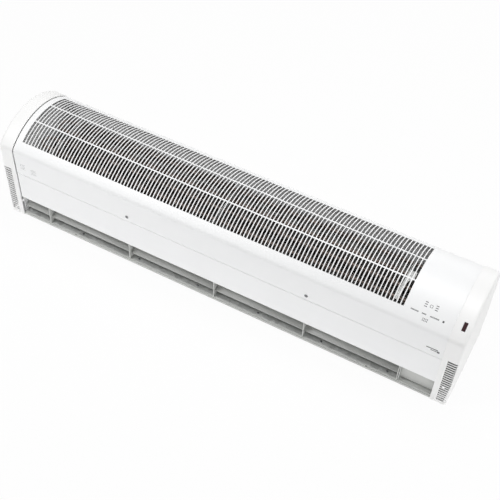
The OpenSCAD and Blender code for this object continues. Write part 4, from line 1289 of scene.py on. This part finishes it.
class AIRCURTAIN_OT_marks(bpy.types.Operator):
    """Prints plain bars and dots beside the controls and at the left end"""

    bl_idname = "aircurtain.marks"
    bl_label = "Marks"

    def execute(self, context):
        sizes = context.scene.aircurtain_marks
        section = Section(context.scene.aircurtain_casing)
        ink = Shell()
        for x, depth, width, height in self.legend(sizes):
            middle = section.angle_at(depth)
            half = height / 2 / section.radius
            angles = np.linspace(middle + half, middle - half, 3)
            path = section.centre + (section.radius + sizes.ink) * around(angles)
            ink.grid(sweep(path, [x - width / 2, x + width / 2]))
        for x, z, width, height in self.plates(sizes):
            path = np.array([[section.front - sizes.ink, z - height / 2]] * 2)
            path[1, 1] += height
            ink.grid(sweep(path, [x - width / 2, x + width / 2]))
        marks = ink.build("printed_marks")
        thicken(marks, sizes.ink)
        dress(settle(marks), INK)
        return {"FINISHED"}

    def legend(self, sizes):
        """Bars on the curve as (x, depth, width, height), with places in millimetres turned to
        metres: two small stacks, a square ring between them, a row of runs of bars, a dot and a
        block."""
        w, h = sizes.bar_width, sizes.bar_height
        ring_x, ring_y, row_y = 457, -65.5, -81.5
        stacks = [(x * MM, y * MM, 5.5 * MM, 0.6 * h) for x in (446, 468) for y in (-61, -65, -69)]
        ring = [((ring_x + side) * MM, ring_y * MM, w / 2, 2.3 * h) for side in (-2.5, 2.5)]
        ring += [(ring_x * MM, (ring_y + side) * MM, 4.3 * MM, h / 4) for side in (-2.4, 2.4)]
        # Each run: where it starts, and how many bars it has
        runs = ((423, 7), (446, 4), (463, 8))
        row = [(x * MM + i * 1.55 * w, row_y * MM, w, h) for x, count in runs for i in range(count)]
        dot = [(489 * MM, row_y * MM, 2.4 * w, 1.5 * h)]
        block = [(x * MM, y * MM, w, 0.9 * h) for x in (451, 454, 457, 460) for y in (-88.5, -91.5)]
        return stacks + ring + row + dot + block

    def plates(self, sizes):
        """Bars on the front face as (x, height, width, bar height): two lines and a dot at the
        right, and two groups of hairlines at the left."""
        w, h = sizes.bar_width, sizes.bar_height
        right = [(486 * MM, 158 * MM, 24 * MM, h), (490 * MM, 153.5 * MM, 13 * MM, 0.8 * h)]
        right += [(499.5 * MM, 153.5 * MM, 3.4 * w, 1.9 * h)]
        left = [(-488 * MM, z * MM, 13 * MM, h / 5) for z in (170, 166, 161, 157)]
        left += [(-460 * MM, z * MM, 14 * MM, h / 5) for z in (165, 161, 156, 152)]
        return right + left


class AIRCURTAIN_OT_bracket_flange(bpy.types.Operator):
    """Folds a flange along the top of the right heater bracket"""

    bl_idname = "aircurtain.bracket_flange"
    bl_label = "Bracket flange"

    def execute(self, context):
        sizes = context.scene.aircurtain_heater
        _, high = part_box("heater_brackets")
        leaf = Shell().grid(self.leaf(sizes, high.x, high.z)).build("bracket_leaf")
        thicken(leaf, sizes.bracket)
        soften(leaf, sizes.bracket / 4)
        dress(settle(leaf), "zinc_sheet")
        return {"FINISHED"}

    def leaf(self, sizes, root, top):
        """A level strip beside the bracket. Over the slope at its step its width grows from
        narrow to wide as narrow + (wide − narrow) × share does, with share from 0 to 1."""
        depth = np.linspace(sizes.leaf_front, sizes.leaf_back, 33)
        share = np.clip((depth - sizes.leaf_step) / sizes.slope + 0.5, 0, 1)
        reach = sizes.narrow + (sizes.wide - sizes.narrow) * share
        across = np.linspace(0, 1, 7)[:, None] * reach
        level = np.full(across.shape, top)
        return np.stack([root + across, np.broadcast_to(depth, across.shape), level], axis=-1)


class AIRCURTAIN_OT_outlet(bpy.types.Operator):
    """Softens the edges of the outlet's rail, dividers, blank and vane"""

    bl_idname = "aircurtain.outlet"
    bl_label = "Outlet"

    def execute(self, context):
        edge = context.scene.aircurtain_casing.edge_round
        for node in ("outlet_rail", "outlet_dividers", "outlet_blank"):
            softened(node, edge, "rail_paint")
        softened("guide_vane", edge, VANE_PAINT, "vane")
        return {"FINISHED"}


PIECES = (
    AIRCURTAIN_OT_stage,
    AIRCURTAIN_OT_finishes,
    AIRCURTAIN_OT_grille_cover,
    AIRCURTAIN_OT_front_panel,
    AIRCURTAIN_OT_end_caps,
    AIRCURTAIN_OT_lens,
    AIRCURTAIN_OT_screws,
    AIRCURTAIN_OT_marks,
    AIRCURTAIN_OT_bracket_flange,
    AIRCURTAIN_OT_outlet,
)
SETTINGS = {
    "aircurtain_casing": CasingSizes,
    "aircurtain_grille": GrilleSizes,
    "aircurtain_cap": CapSizes,
    "aircurtain_screws": ScrewSizes,
    "aircurtain_heater": HeaterSizes,
    "aircurtain_marks": MarkSizes,
    "aircurtain_colours": FinishColours,
    "aircurtain_stage": StageSettings,
}


class AIRCURTAIN_PT_pieces(bpy.types.Panel):
    """Lists the pieces of the air curtain, and the sizes they are built to"""

    bl_label = "Air curtain"
    bl_space_type = "VIEW_3D"
    bl_region_type = "UI"
    bl_category = "Air curtain"

    def draw(self, context):
        for piece in PIECES:
            self.layout.operator(piece.bl_idname)
        for name, group in SETTINGS.items():
            box = self.layout.box()
            box.label(text=group.__name__)
            for value in group.__annotations__:
                box.prop(getattr(context.scene, name), value)


CLASSES = (*SETTINGS.values(), *PIECES, AIRCURTAIN_PT_pieces)


def register():
    """Registers the classes and hangs the settings on the scene."""
    for item in CLASSES:
        bpy.utils.register_class(item)
    for name, group in SETTINGS.items():
        setattr(bpy.types.Scene, name, bpy.props.PointerProperty(type=group))


def unregister():
    """Takes the settings and the classes away again."""
    for name in SETTINGS:
        delattr(bpy.types.Scene, name)
    for item in reversed(CLASSES):
        bpy.utils.unregister_class(item)


def main():
    """Builds everything in order."""
    register()
    bpy.ops.aircurtain.stage()
    bpy.ops.aircurtain.finishes()
    bpy.ops.aircurtain.grille_cover()
    bpy.ops.aircurtain.front_panel()
    bpy.ops.aircurtain.end_caps()
    bpy.ops.aircurtain.lens()
    bpy.ops.aircurtain.screws()
    bpy.ops.aircurtain.marks()
    bpy.ops.aircurtain.bracket_flange()
    bpy.ops.aircurtain.outlet()


if __name__ == "__main__":
    main()
